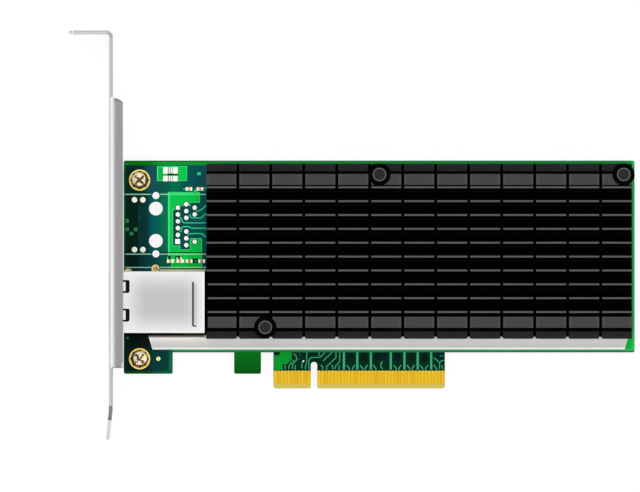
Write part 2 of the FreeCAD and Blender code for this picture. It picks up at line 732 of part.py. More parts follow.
# ================================================================ RJ45 jack
def jack_shield():
    """Folded sheet-metal can, open below, with a turned-in frame round its mouth."""
    half = JACK_WIDTH / 2
    sheet = SHIELD_SHEET
    low, high = PORT_Y - half, PORT_Y + half
    section = [(low, 0, 0), (high, 0, 0), (high, JACK_HEIGHT, SHIELD_BEND),
               (low, JACK_HEIGHT, SHIELD_BEND)]
    can = plate_yz(section, JACK_FRONT, JACK_BACK)
    hollow = box(JACK_FRONT + sheet, JACK_BACK - sheet, low + sheet, high - sheet,
                 0, JACK_HEIGHT - sheet)
    mouth = box(JACK_FRONT, JACK_FRONT + sheet, low + FACE_FRAME, high - FACE_FRAME,
                FACE_FRAME, JACK_HEIGHT - FACE_FRAME)
    tools = [hollow, mouth, shield_groove()] + spring_slots()
    tabs = []
    for x, y in ground_places(PORT_Y, sheet / 2):
        tabs.append(block(x, y, -GROUND_TAB_LENGTH, GROUND_TAB_WIDTH, sheet, GROUND_TAB_LENGTH))
    return [joined([cut(can, tools)] + tabs)]


def spring_slots():
    """Bracket-shaped slots in the roof that free the two grounding spring fingers."""
    z0, z1 = JACK_HEIGHT - SHIELD_SHEET, JACK_HEIGHT
    middle = PORT_Y + SPRING_FINGER_OFFSET
    tip = JACK_FRONT + SPRING_FINGER_END
    root = PLATE_INNER + 0.4
    slots = []
    for side in (-1, 1):
        y = middle + side * SPRING_FINGER_PITCH / 2
        outer = SPRING_FINGER_WIDTH / 2 + SPRING_SLOT_SIDE
        inner = SPRING_FINGER_WIDTH / 2
        corners = [
            (root, y - outer, 0),
            (tip + SPRING_SLOT, y - outer, 0.6),
            (tip + SPRING_SLOT, y + outer, 0.4),
            (root, y + outer, 0),
            (root, y + inner, 0),
            (tip, y + inner, 0),
            (tip, y - inner, 0),
            (root, y - inner, 0),
        ]
        slots.append(plate_xy(corners, z0, z1))
    return slots


def shield_groove():
    """Shallow pressed groove across the roof, near the back."""
    left = JACK_BACK - GROOVE_FROM_BACK - GROOVE_WIDTH / 2
    right = left + GROOVE_WIDTH
    low = PORT_Y - GROOVE_SHIFT - GROOVE_LENGTH / 2
    high = low + GROOVE_LENGTH
    corners = [(left, low, GROOVE_CORNER), (right, low, GROOVE_CORNER),
               (right, high, GROOVE_CORNER), (left, high, GROOVE_CORNER)]
    return plate_xy(corners, JACK_HEIGHT - GROOVE_DEPTH, JACK_HEIGHT)


def cavity_profile():
    """Stepped opening for the plug and its latch, as (y, z) points."""
    low = CAVITY_FLOOR
    roof = low + CAVITY_HEIGHT
    step = roof + CAVITY_STEP_HEIGHT
    rising = [(CAVITY_WIDTH / 2, low), (CAVITY_WIDTH / 2, roof), (CAVITY_STEP_WIDTH / 2, roof),
              (CAVITY_STEP_WIDTH / 2, step), (LATCH_WIDTH / 2, step),
              (LATCH_WIDTH / 2, LATCH_TOP)]
    right = [(PORT_Y + y, z) for y, z in rising]
    left = [(PORT_Y - y, z) for y, z in reversed(rising)]
    return right + left


def light_box(side, clearance):
    """Space of one light pipe, widened on every hidden side by the clearance."""
    y = PORT_Y + side * (JACK_WIDTH / 2 - LIGHT_INSET)
    half = LIGHT_WIDTH / 2 + clearance
    return box(CORE_FRONT, CORE_FRONT + LIGHT_LENGTH + clearance, y - half, y + half,
               LIGHT_BOTTOM - clearance, LIGHT_BOTTOM + LIGHT_HEIGHT + clearance)


def jack_housing():
    body = box(CORE_FRONT, HOUSING_BACK, PORT_Y - CORE_SIDE, PORT_Y + CORE_SIDE, 0, CORE_TOP)
    cavity = plate_yz(square(cavity_profile()), CORE_FRONT, CORE_FRONT + CAVITY_DEPTH)
    channels = [light_box(side, LIGHT_CLEARANCE) for side in (-1, 1)]
    body = cut(body, [cavity] + channels)
    pegs = [small_post(x, y, -PEG_LENGTH, 0, PEG_RADIUS, BROAD_ROUND_SIDES)
            for x, y in peg_places(PORT_Y)]
    return [joined([body] + pegs)]


def contact_wire(y):
    """Spring wire that rises from the cavity's floor towards its back and turns down again."""
    start = CORE_FRONT + WIRE_FROM_FRONT
    crest = start + WIRE_RUN
    low = CAVITY_FLOOR
    high = low + WIRE_RISE
    thick = WIRE_THICKNESS
    corners = [
        (start, low, 0),
        (start + 1.4 * thick, low, 0),
        (crest - 0.3 * thick, high - thick, 0),
        (crest - 0.3 * thick, low, 0),
        (crest + 0.7 * thick, low, 0),
        (crest + 0.7 * thick, high, 0),
        (crest - 0.5 * thick, high, 0),
    ]
    return plate_xz(corners, y - WIRE_WIDTH / 2, y + WIRE_WIDTH / 2)


def jack_contacts():
    first = PORT_Y - WIRE_PITCH * (WIRE_COUNT - 1) / 2
    return [contact_wire(first + index * WIRE_PITCH) for index in range(WIRE_COUNT)]


def jack_magnetics():
    """Potted transformer block that fills the back of the shield."""
    return [box(HOUSING_BACK + SHIELD_FIT, CORE_BACK, PORT_Y - CORE_SIDE, PORT_Y + CORE_SIDE,
                MAGNETICS_FOOT, CORE_TOP)]


def jack_pins():
    """Square pins below the transformer block, and two more below each light pipe."""
    low = BOARD_BACK - PIN_PROUD
    rising = [(x, y, MAGNETICS_FOOT) for x, y in pin_places(PORT_Y)]
    rising += [(x, y, 0) for x, y in light_pin_places(PORT_Y)]
    return [block(x, y, low, PIN_SIDE, PIN_SIDE, high - low) for x, y, high in rising]


def status_light(side):
    return [light_box(side, 0)]


# ================================================================ processor
def controller_substrate():
    return [block(CHIP_X, CHIP_Y, CHIP_STANDOFF, CHIP_SIDE, CHIP_SIDE, SUBSTRATE_THICKNESS)]


def controller_lid():
    """Metal heat spreader with a raised middle and a thin flange that is glued down."""
    wide = CHIP_SIDE - 2 * LID_INSET
    narrow = wide - 4 * LID_STEP
    flange = block(CHIP_X, CHIP_Y, SUBSTRATE_TOP, wide, wide, LID_THICKNESS / 2)
    raised = block(CHIP_X, CHIP_Y, SUBSTRATE_TOP, narrow, narrow, LID_THICKNESS)
    return [joined([flange, raised])]


def thermal_pad():
    side = min(PAD_SIDE, CHIP_SIDE - 2 * LID_INSET - 4 * LID_STEP)
    return [block(CHIP_X, CHIP_Y, CHIP_TOP, side, side, PAD_THICKNESS)]


# ================================================================ heatsink
def fin_teeth():
    """Every upright of the section: start, width and height, from the lower edge upwards."""
    lower_land = SINK_BOTTOM + LOWER_LAND_FROM_EDGE
    upper_land = SINK_UPPER_EDGE - UPPER_LAND_FROM_EDGE - LAND_WIDTH
    first = lower_land + LAND_WIDTH + FIRST_FIN_GAP
    last = upper_land - LAST_FIN_GAP - FIN_THICKNESS
    pitch = (last - first) / (FIN_COUNT - 1)
    fins = [(first + index * pitch, FIN_THICKNESS, FIN_HEIGHT) for index in range(FIN_COUNT)]
    ledges = [(SINK_BOTTOM, LEDGE_WIDTH, LEDGE_HEIGHT),
              (SINK_UPPER_EDGE - LEDGE_WIDTH, LEDGE_WIDTH, LEDGE_HEIGHT)]
    lands = [(lower_land, LAND_WIDTH, LAND_HEIGHT), (upper_land, LAND_WIDTH, LAND_HEIGHT)]
    return sorted(fins + ledges + lands)


def fin_section():
    """Comb-shaped extrusion profile, as (y, z) points."""
    points = [(SINK_BOTTOM, SINK_UNDERSIDE)]
    for start, width, height in fin_teeth():
        points += [(start, BASE_TOP), (start, BASE_TOP + height),
                   (start + width, BASE_TOP + height), (start + width, BASE_TOP)]
    points.append((SINK_UPPER_EDGE, SINK_UNDERSIDE))
    return points


def cross_slot_places():
    count = int((SINK_RIGHT - SINK_LEFT - FIRST_CROSS_SLOT) / CROSS_SLOT_PITCH) + 1
    places = [SINK_LEFT + FIRST_CROSS_SLOT + index * CROSS_SLOT_PITCH for index in range(count)]
    return [x for x in places if x < SINK_RIGHT - 2 * CROSS_SLOT]


def cross_slots():
    """Saw cuts across all fins, and the flared nick that each leaves in the lower edge."""
    half = CROSS_SLOT / 2
    tools = []
    for x in cross_slot_places():
        tools.append(box(x - half, x + half, SINK_BOTTOM, SINK_UPPER_EDGE, BASE_TOP, SINK_TOP))
        nick = [(x - half - SLOT_NICK_FLARE, SINK_BOTTOM),
                (x + half + SLOT_NICK_FLARE, SINK_BOTTOM),
                (x + 0.6 * half, SINK_BOTTOM + SLOT_NICK_DEPTH),
                (x - 0.6 * half, SINK_BOTTOM + SLOT_NICK_DEPTH)]
        tools.append(plate_xy(square(nick), SINK_UNDERSIDE, BASE_TOP + LEDGE_HEIGHT))
    return tools


def jack_relief():
    """Step in the end of the heatsink that keeps it clear of the jack's shield."""
    reach = JACK_WIDTH / 2 - JACK_RELIEF_INSET
    return box(SINK_LEFT, SINK_LEFT + JACK_RELIEF, PORT_Y - reach, PORT_Y + reach,
               SINK_UNDERSIDE, SINK_TOP)


def heatsink():
    body = plate_yz(square(fin_section()), SINK_LEFT, SINK_RIGHT)
    body = cut(body, cross_slots() + [jack_relief()])
    pocket = PIN_HEAD_RADIUS + POCKET_CLEARANCE
    pockets = [small_post(x, y, BASE_TOP, SINK_TOP, pocket, BROAD_ROUND_SIDES)
               for x, y in PIN_PLACES]
    body = cut(body, pockets)
    pedestal = block(CHIP_X, CHIP_Y, SINK_SEAT, PEDESTAL_SIDE, PEDESTAL_SIDE, PEDESTAL_HEIGHT)
    bosses = [small_post(x, y, BOSS_BOARD_GAP, SINK_UNDERSIDE, BOSS_RADIUS)
              for x, y in PIN_PLACES]
    body = joined([body, pedestal] + bosses)
    bores = [small_post(x, y, BOSS_BOARD_GAP, BASE_TOP, PIN_SHANK + PIN_SHANK_CLEARANCE)
             for x, y in PIN_PLACES]
    return [cut(body, bores)]


# ================================================================ push pins and springs
def push_pin(x, y):
    """Nylon pin: dished button on a broad head, shank, and split barb below the board."""
    button_top = HEAD_TOP + BUTTON_HEIGHT
    dish_floor = button_top - BUTTON_DISH_DEPTH
    head = small_post(x, y, HEAD_UNDERSIDE, HEAD_TOP, PIN_HEAD_RADIUS, BROAD_ROUND_SIDES)
    button = small_post(x, y, HEAD_TOP, button_top, BUTTON_RADIUS, BROAD_ROUND_SIDES)
    dish = small_post(x, y, dish_floor, button_top, BUTTON_DISH_RADIUS, BROAD_ROUND_SIDES)
    shank = small_post(x, y, BOARD_BACK, HEAD_UNDERSIDE, PIN_SHANK)
    barb = frustum(x, y, [(BOARD_BACK - BARB_LENGTH, BARB_TIP_RADIUS), (BOARD_BACK, BARB_RADIUS)],
                   SMALL_ROUND_SIDES)
    split = box(x - BARB_SLOT / 2, x + BARB_SLOT / 2, y - BARB_RADIUS, y + BARB_RADIUS,
                BOARD_BACK - BARB_LENGTH, BARB_SLOT_TOP)
    return joined([head, button, shank, barb]).cut(Part.makeCompound([dish, split]))


def coil_section(step):
    """Wire's section at one step along the coil, square to it."""
    angle = 2 * math.pi * step / COIL_STEPS_PER_TURN
    low = BASE_TOP + SPRING_WIRE
    travel = HEAD_UNDERSIDE - SPRING_WIRE - low
    centre_z = low + travel * step / (SPRING_TURNS * COIL_STEPS_PER_TURN)
    outward = Vector(math.cos(angle), math.sin(angle), 0)
    points = []
    for side in range(COIL_WIRE_SIDES + 1):
        turn = 2 * math.pi * side / COIL_WIRE_SIDES
        spread = outward * (SPRING_RADIUS + SPRING_WIRE * math.cos(turn))
        points.append(spread + Vector(0, 0, centre_z + SPRING_WIRE * math.sin(turn)))
    return Part.makePolygon(points)


def push_pin_spring(x, y):
    """Compression coil between the heatsink's base and the pin's head."""
    steps = int(SPRING_TURNS * COIL_STEPS_PER_TURN)
    coil = Part.makeLoft([coil_section(step) for step in range(steps + 1)], True, True)
    coil.translate(Vector(x, y, 0))
    return coil


# ================================================================ stiffener bar
def stiffener_bar():
    """Extruded bar with slanted ends and broken long edges, on posts through the board."""
    low, high = BAR_BOTTOM, BAR_TOP_EDGE
    plan = [(BAR_LEFT, high), (BAR_LEFT + BAR_END_SLANT, low),
            (BAR_RIGHT - BAR_END_SLANT, low), (BAR_RIGHT, high)]
    section = [(low, 0), (high, 0), (high, BAR_HEIGHT - BAR_EDGE), (high - BAR_EDGE, BAR_HEIGHT),
               (low + BAR_EDGE, BAR_HEIGHT), (low, BAR_HEIGHT - BAR_EDGE)]
    extrusion = plate_yz(square(section), BAR_LEFT, BAR_RIGHT)
    bar = plate_xy(square(plan), 0, BAR_HEIGHT).common(extrusion)
    relief = BOSS_RADIUS + BAR_BOSS_CLEARANCE
    bar = cut(bar, [small_post(x, y, 0, BAR_HEIGHT, relief) for x, y in PIN_PLACES])
    posts = [small_post(x, y, BOARD_BACK - BAR_POST_PROUD, 0, BAR_POST_RADIUS)
             for x, y in bar_post_places()]
    return [joined([bar] + posts)]


# ================================================================ small parts
def flash_memory():
    """Small-outline package with four gull-wing legs on each side, as one moulding."""
    x, y = FLASH_PLACE
    body = block(x, y, LEG_STANDOFF, FLASH_LENGTH, FLASH_WIDTH, FLASH_HEIGHT)
    first = x - FLASH_LEG_PITCH * (FLASH_LEGS_PER_SIDE - 1) / 2
    legs = []
    for index in range(FLASH_LEGS_PER_SIDE):
        for side in (-1, 1):
            legs.append(gull_wing(first + index * FLASH_LEG_PITCH, y, side))
    return [joined([body] + legs)]


def gull_wing(x, y, side):
    root = FLASH_WIDTH / 2 - 0.2
    knee = FLASH_WIDTH / 2 + 0.35 * LEG_REACH
    foot = FLASH_WIDTH / 2 + LEG_REACH
    high = LEG_STANDOFF + FLASH_HEIGHT / 2
    thick = LEG_THICKNESS
    path = [(root, high), (knee, high), (knee, 0), (foot, 0), (foot, thick),
            (knee + thick, thick), (knee + thick, high + thick), (root, high + thick)]
    corners = [(y + side * across, z) for across, z in path]
    return plate_yz(square(corners), x - LEG_WIDTH / 2, x + LEG_WIDTH / 2)


def reference_crystal():
    x, y = CRYSTAL_PLACE
    base = block(x, y, 0, CRYSTAL_LENGTH, CRYSTAL_WIDTH, CRYSTAL_HEIGHT - CRYSTAL_LID)
    lid = block(x, y, CRYSTAL_HEIGHT - CRYSTAL_LID, CRYSTAL_LENGTH - 2 * CRYSTAL_LID_INSET,
                CRYSTAL_WIDTH - 2 * CRYSTAL_LID_INSET, CRYSTAL_LID)
    return [joined([base, lid])]


def power_inductor(x, y):
    """Pressed ferrite block with broken corners."""
    half = INDUCTOR_SIDE / 2
    corner = INDUCTOR_SIDE / 8
    plan = [(x - half, y - half + corner), (x - half + corner, y - half),
            (x + half - corner, y - half), (x + half, y - half + corner),
            (x + half, y + half - corner), (x + half - corner, y + half),
            (x - half + corner, y + half), (x - half, y + half - corner)]
    return plate_xy(square(plan), 0, INDUCTOR_HEIGHT)


def voltage_regulator(x, y):
    return block(x, y, 0, REGULATOR_SIDE, REGULATOR_SIDE, REGULATOR_HEIGHT)


def bulk_capacitor(x, y):
    """Moulded polymer capacitor: tapered case on two folded feet."""
    half, taper = BULK_LENGTH / 2, BULK_TAPER
    section = [(x - half, 0), (x - half + BULK_FOOT, 0), (x - half + BULK_FOOT, taper),
               (x + half - BULK_FOOT, taper), (x + half - BULK_FOOT, 0), (x + half, 0),
               (x + half - taper, BULK_HEIGHT), (x - half + taper, BULK_HEIGHT)]
    return plate_xz(square(section), y - BULK_WIDTH / 2, y + BULK_WIDTH / 2)


def surface_chip(x, y, z, size):
    """Ceramic chip, standing on z; size is its length, width and height."""
    length, width, height = size
    return block(x, y, z, length, width, height)


def column_of_chips(column, pitch, count, size):
    x, first = column
    return [surface_chip(x, first + index * pitch, 0, size) for index in range(count)]


def chip_resistors():
    loose = [surface_chip(x, y, 0, RESISTOR_SIZE) for x, y in RESISTOR_PLACES]
    return loose + column_of_chips(RESISTOR_COLUMN, RESISTOR_PITCH, RESISTOR_COUNT, RESISTOR_SIZE)


def chip_capacitors():
    return column_of_chips(CAPACITOR_COLUMN, CAPACITOR_PITCH, CAPACITOR_COUNT, CAPACITOR_SIZE)


def decoupling_capacitors():
    """Grid on the solder side, under the processor."""
    chips = []
    for column in range(DECOUPLER_COLUMNS):
        for row in range(DECOUPLER_ROWS):
            x = CHIP_X + (column - (DECOUPLER_COLUMNS - 1) / 2) * DECOUPLER_PITCH
            y = CHIP_Y + (row - (DECOUPLER_ROWS - 1) / 2) * DECOUPLER_PITCH
            chips.append(surface_chip(x, y, BOARD_BACK - DECOUPLER_SIZE[2], DECOUPLER_SIZE))
    return chips


# ================================================================ whole card
def build():
    os.makedirs("parts", exist_ok=True)
    save("circuit_board", circuit_board())
    save("edge_contacts_front", edge_contacts(0))
    save("edge_contacts_back", edge_contacts(BOARD_BACK - CONTACT_THICKNESS))
    save("io_bracket", io_bracket())
    save("bracket_screws", [bracket_screw(x, y) for x, y in SCREW_PLACES])
    save("lock_washers", [lock_washer(x, y) for x, y in SCREW_PLACES])
    save("jack_shield", jack_shield())
    save("jack_housing", jack_housing())
    save("jack_contacts", jack_contacts())
    save("jack_magnetics", jack_magnetics())
    save("jack_pins", jack_pins())
    save("left_status_light", status_light(-1))
    save("right_status_light", status_light(1))
    save("controller_substrate", controller_substrate())
    save("controller_lid", controller_lid())
    save("thermal_pad", thermal_pad())
    save("heatsink", heatsink())
    save("push_pins", [push_pin(x, y) for x, y in PIN_PLACES])
    save("push_pin_springs", [push_pin_spring(x, y) for x, y in PIN_PLACES])
    save("stiffener_bar", stiffener_bar())
    save("flash_memory", flash_memory())
    save("reference_crystal", reference_crystal())
    save("power_inductors", [power_inductor(x, y) for x, y in INDUCTOR_PLACES])
    save("voltage_regulators", [voltage_regulator(x, y) for x, y in REGULATOR_PLACES])
    save("bulk_capacitors", [bulk_capacitor(x, y) for x, y in BULK_PLACES])
    save("chip_resistors", chip_resistors())
    save("chip_capacitors", chip_capacitors())
    save("decoupling_capacitors", decoupling_capacitors())


build()
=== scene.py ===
"""Looks of a network interface card: finishes, board artwork, small trim and a studio stage."""
import math

import bmesh
import bpy
from bpy.props import FloatProperty, FloatVectorProperty, PointerProperty
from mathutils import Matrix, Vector


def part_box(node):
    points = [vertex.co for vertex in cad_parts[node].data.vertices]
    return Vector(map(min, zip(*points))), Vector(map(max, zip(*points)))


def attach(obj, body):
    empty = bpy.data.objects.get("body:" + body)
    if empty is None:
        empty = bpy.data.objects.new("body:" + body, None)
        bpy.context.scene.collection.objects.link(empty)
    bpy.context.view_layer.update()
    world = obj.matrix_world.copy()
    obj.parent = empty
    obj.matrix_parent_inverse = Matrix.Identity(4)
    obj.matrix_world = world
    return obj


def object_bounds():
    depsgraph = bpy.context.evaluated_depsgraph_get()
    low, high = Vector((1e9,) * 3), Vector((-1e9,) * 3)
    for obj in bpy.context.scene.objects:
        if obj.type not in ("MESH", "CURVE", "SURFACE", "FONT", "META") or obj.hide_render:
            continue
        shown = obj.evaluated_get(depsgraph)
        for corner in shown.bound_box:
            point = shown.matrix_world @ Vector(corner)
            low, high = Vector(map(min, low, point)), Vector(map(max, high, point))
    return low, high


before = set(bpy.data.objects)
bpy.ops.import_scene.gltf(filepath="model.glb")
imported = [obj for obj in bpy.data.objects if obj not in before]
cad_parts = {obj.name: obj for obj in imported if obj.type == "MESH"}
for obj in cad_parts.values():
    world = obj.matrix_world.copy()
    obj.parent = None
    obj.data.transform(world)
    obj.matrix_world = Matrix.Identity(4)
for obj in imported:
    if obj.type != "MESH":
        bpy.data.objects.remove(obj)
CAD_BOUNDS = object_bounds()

bl_info = {
    "name": "Network Interface Card",
    "version": (1, 0, 0),
    "blender": (4, 5, 0),
    "location": "View3D > Sidebar > Network Card",
    "description": "Dresses the solids of a network card and lights them",
    "category": "Object",
}

MM = 0.001
BODY = "root"
SMALL_ROUND = 12
BROAD_ROUND = 32


# ---------------------------------------------------------------- what the solids say
def corners(node):
    """Lowest and highest corner of a node, in millimetres."""
    low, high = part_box(node)
    return Vector(low) / MM, Vector(high) / MM


def solids_of(node):
    """Box of every separate solid in a node, in millimetres, as (low, high) pairs."""
    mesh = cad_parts[node].data
    welded = {}
    owner = []
    for vertex in mesh.vertices:
        key = tuple(round(value, 6) for value in vertex.co)
        owner.append(welded.setdefault(key, len(welded)))
    root = list(range(len(welded)))

    def find(index):
        while root[index] != index:
            root[index] = root[root[index]]
            index = root[index]
        return index

    for polygon in mesh.polygons:
        first = find(owner[polygon.vertices[0]])
        for vertex in polygon.vertices[1:]:
            root[find(owner[vertex])] = first
    groups = {}
    for key, index in welded.items():
        groups.setdefault(find(index), []).append(key)
    boxes = []
    for points in groups.values():
        low = Vector([min(point[axis] for point in points) for axis in range(3)]) / MM
        high = Vector([max(point[axis] for point in points) for axis in range(3)]) / MM
        boxes.append((low, high))
    return sorted(boxes, key=lambda pair: tuple(pair[0]))


JACK_LOW, JACK_HIGH = corners("jack_shield")
SINK_LOW, SINK_HIGH = corners("heatsink")
BRACKET_LOW, BRACKET_HIGH = corners("io_bracket")
CONTACTS_LOW, CONTACTS_HIGH = corners("edge_contacts_front")
PIN_TOP = corners("push_pins")[1].z
SCREW_TOP = corners("bracket_screws")[1].z

PORT_PITCH = 23.1                  # fitted port to the unfitted one
PORT_Y = (JACK_LOW.y + JACK_HIGH.y) / 2
SPARE_PORT_Y = PORT_Y + PORT_PITCH
BOARD_FACE = 0.0
BOARD_BACK = corners("circuit_board")[0].z
PLATE_INNER = BRACKET_LOW.x + 13.05    # inner side of the bracket's plate
FIRST_SLOT = 9.4                   # heatsink's left end to its first saw cut
SLOT_PITCH = 9.85
FIRST_FIN = 8.015                  # heatsink's lower side to its first fin's middle
FIN_PITCH = 4.1389


# ---------------------------------------------------------------- settings
def tone(*display):
    """Linear colour of display values from 0 to 255: red, green and blue, or one for a grey."""
    shares = [value / 255 for value in (display * 3)[:3]]
    return tuple(share / 12.92 if share <= 0.04045 else ((share + 0.055) / 1.055) ** 2.4
                 for share in shares)


def colour(name, description, value):
    return FloatVectorProperty(name=name, description=description, default=value,
                               subtype="COLOR", size=3, min=0, max=1)


def size(name, description, millimetres):
    return FloatProperty(name=name, description=description, default=millimetres * MM,
                         unit="LENGTH", subtype="DISTANCE", precision=5, min=0)


def amount(name, description, value):
    return FloatProperty(name=name, description=description, default=value,
                         subtype="FACTOR", min=0, max=1)


class CardColours(bpy.types.PropertyGroup):
    """Colours of the card's finishes."""
    mask_mid: colour("Mask, middle", "Solder mask over inner copper", tone(4, 62, 66))
    mask_edge: colour("Mask, edge", "Guard copper along the board's edges", tone(24, 146, 68))
    mask_tab: colour("Mask, tab", "Solder mask on the retention tab", tone(0, 84, 18))
    laminate: colour("Laminate", "Cut side of the glass-epoxy board", (0.16, 0.19, 0.05))
    plane: colour("Copper plane", "Solder mask over outer copper", tone(5, 210, 80))
    plane_rim: colour("Plane rim", "Lighter rim of an outer plane", tone(75, 245, 150))
    plane_deep: colour("Deep plane", "Outer plane by the contacts", tone(5, 155, 45))
    trace: colour("Trace", "Signal trace under the mask", tone(54, 216, 156))
    trace_edge: colour("Contact trace", "Signal trace by the contacts", tone(62, 172, 124))
    pale: colour("Pale line", "Printed guide line", tone(150, 214, 190))
    gold: colour("Gold", "Plating of the edge contacts", tone(238, 194, 40))
    gold_deep: colour("Deep gold", "Plating of the warmer contacts", tone(228, 180, 36))
    gold_pale: colour("Pale gold", "Bevelled end of the contact edge", tone(214, 198, 100))
    eyelet: colour("Eyelet", "Gold-plated eyelet", tone(250, 230, 158))
    zinc: colour("Yellow zinc", "Plating of screws and washers", tone(236, 208, 96))
    # The pale zinc is partly the head's polish and partly painted highlight.
    zinc_pale_polish_and_highlight: colour("Pale zinc", "Polished screw head", tone(255, 238, 204))
    zinc_brown: colour("Dark zinc", "Shaded screw recess", tone(70, 38, 4))
    nickel: colour("Nickel", "Plating of the bracket", tone(205))
    tin: colour("Tin, rim", "Shield of the jack near its edges", tone(236))
    # The shield's darker middle is painted shade.
    tin_shaded_middle: colour("Tin, middle", "Shield of the jack at its middle", tone(196))
    solder: colour("Solder", "Tinned pads and joints", (1.0, 1.0, 0.98))
    paste: colour("Paste", "Filled centres of pads and rings", tone(214, 206, 184))
    bar: colour("Bar", "Satin stiffener bar", tone(200, 198, 194))
    chip: colour("Chip body", "Golden ceramic of the small chips", tone(236, 204, 130))
    # Heatsink tones by level are painted light: painted sheen on the fin, land and ledge tops,
    # brightest on the fins, and painted shade in the near-black channels.
    fin_top_sheen: colour("Fin tops", "Worn anodising on the fin tops", tone(92))
    land_top_sheen: colour("Land tops", "Anodising on the broad lands", tone(70))
    ledge_top_sheen: colour("Ledge tops", "Anodising on the low ledges", tone(45, 44, 45))
    sink_black_channel_shade: colour("Channels", "Anodising between the fins", (0.0004, 0.0004, 0.0004))
    sink_side: colour("Heatsink, sides", "Anodised fin sides", tone(34, 34, 36))
    nylon: colour("Nylon", "Body of the push pins", (0.001, 0.001, 0.001))
    # The grey rim of the pin buttons is a painted highlight on their chamfer.
    nylon_rim_highlight: colour("Nylon rim", "Rubbed rim of the pin buttons", tone(104))
    nylon_dish: colour("Nylon dish", "Dish of the pin buttons", tone(45))


class ArtworkSizes(bpy.types.PropertyGroup):
    """Sizes of what is printed and plated on the board."""
    plane_height: size("Plane height", "Outer copper above the board's face", 0.03)
    plane_rim: size("Plane rim", "Width of a plane's lighter rim", 0.16)
    trace_width: size("Trace width", "Width of the signal traces", 0.34)
    trace_height: size("Trace height", "Traces above the board's face", 0.035)
    line_width: size("Line width", "Width of the printed lines", 0.34)
    line_height: size("Line height", "Printed lines above the board's face", 0.045)
    ring_radius: size("Ring radius", "Outside of the plated rings", 0.68)
    ring_wide: size("Wide ring radius", "Outside of the rings by the light leads", 0.85)
    fill_radius: size("Fill radius", "Darker filled centre of a ring", 0.16)
    ring_height: size("Ring height", "Rings above the board's face", 0.06)
    cap_length: size("Cap length", "Tinned end of a small chip", 0.55)
    joint_radius: size("Joint radius", "Foot of a solder joint", 0.8)


class StageSettings(bpy.types.PropertyGroup):
    """Camera, floor and lamps."""
    camera_x: FloatProperty(name="Camera X", description="Place of the camera along the card",
                            default=0.001795, unit="LENGTH", precision=5)
    camera_y: FloatProperty(name="Camera Y", description="Place of the camera across the card",
                            default=0.04263, unit="LENGTH", precision=5)
    camera_z: FloatProperty(name="Camera height", description="Height of the camera",
                            default=6.9133, unit="LENGTH")
    lens: FloatProperty(name="Lens", description="Focal length", default=1300, unit="CAMERA")
    floor_glow: amount("Floor glow", "Share of the floor's white that shadows can't take", 0.88)
    floor_lit: amount("Floor, lit", "Share of the floor's white that shadows can take", 0.16)
    lamp_power: FloatProperty(name="Lamp power", description="Power of the main lamp",
                              default=3.0, unit="POWER")
    zenith: FloatProperty(name="Sky, overhead", description="Brightness of the sky overhead",
                          default=1.75, min=0, max=4)
    horizon: amount("Sky, low", "Brightness of the sky near the floor", 0.1)


# ---------------------------------------------------------------- shader maths
class Value:
    """A shader socket that arithmetic can be written with; each operation adds a Math node."""

    def __init__(self, finish, socket):
        self.finish = finish
        self.socket = socket

    def maths(self, operation, *values, clamp=False):
        settings = {"operation": operation, "use_clamp": clamp}
        return self.finish.node("ShaderNodeMath", settings, dict(enumerate(values)))

    def __add__(self, other):
        return self.maths("ADD", self, other)

    __radd__ = __add__

    def __sub__(self, other):
        return self.maths("SUBTRACT", self, other)

    def __rsub__(self, other):
        return self.maths("SUBTRACT", other, self)

    def __mul__(self, other):
        return self.maths("MULTIPLY", self, other)

    __rmul__ = __mul__

    def __abs__(self):
        return self.maths("ABSOLUTE", self)

    def above(self, level, soft):
        """0 below the level, 1 at the level plus the soft width."""
        return self.maths("MULTIPLY", self - level, 1 / soft, clamp=True)

    def below(self, level, soft):
        return 1 - self.above(level, soft)

    def within(self, low, high, soft):
        """1 between two levels, with soft sides."""
        return self.above(low, soft) * self.below(high - soft, soft)

    def cycle(self, period):
        """Place within one period."""
        return self.maths("FLOORED_MODULO", self, period)

    def power(self, exponent):
        return self.maths("POWER", self, exponent)

    def root(self):
        return self.maths("SQRT", self)

    def least(self, other):
        return self.maths("MINIMUM", self, other)

    def most(self, other):
        return self.maths("MAXIMUM", self, other)


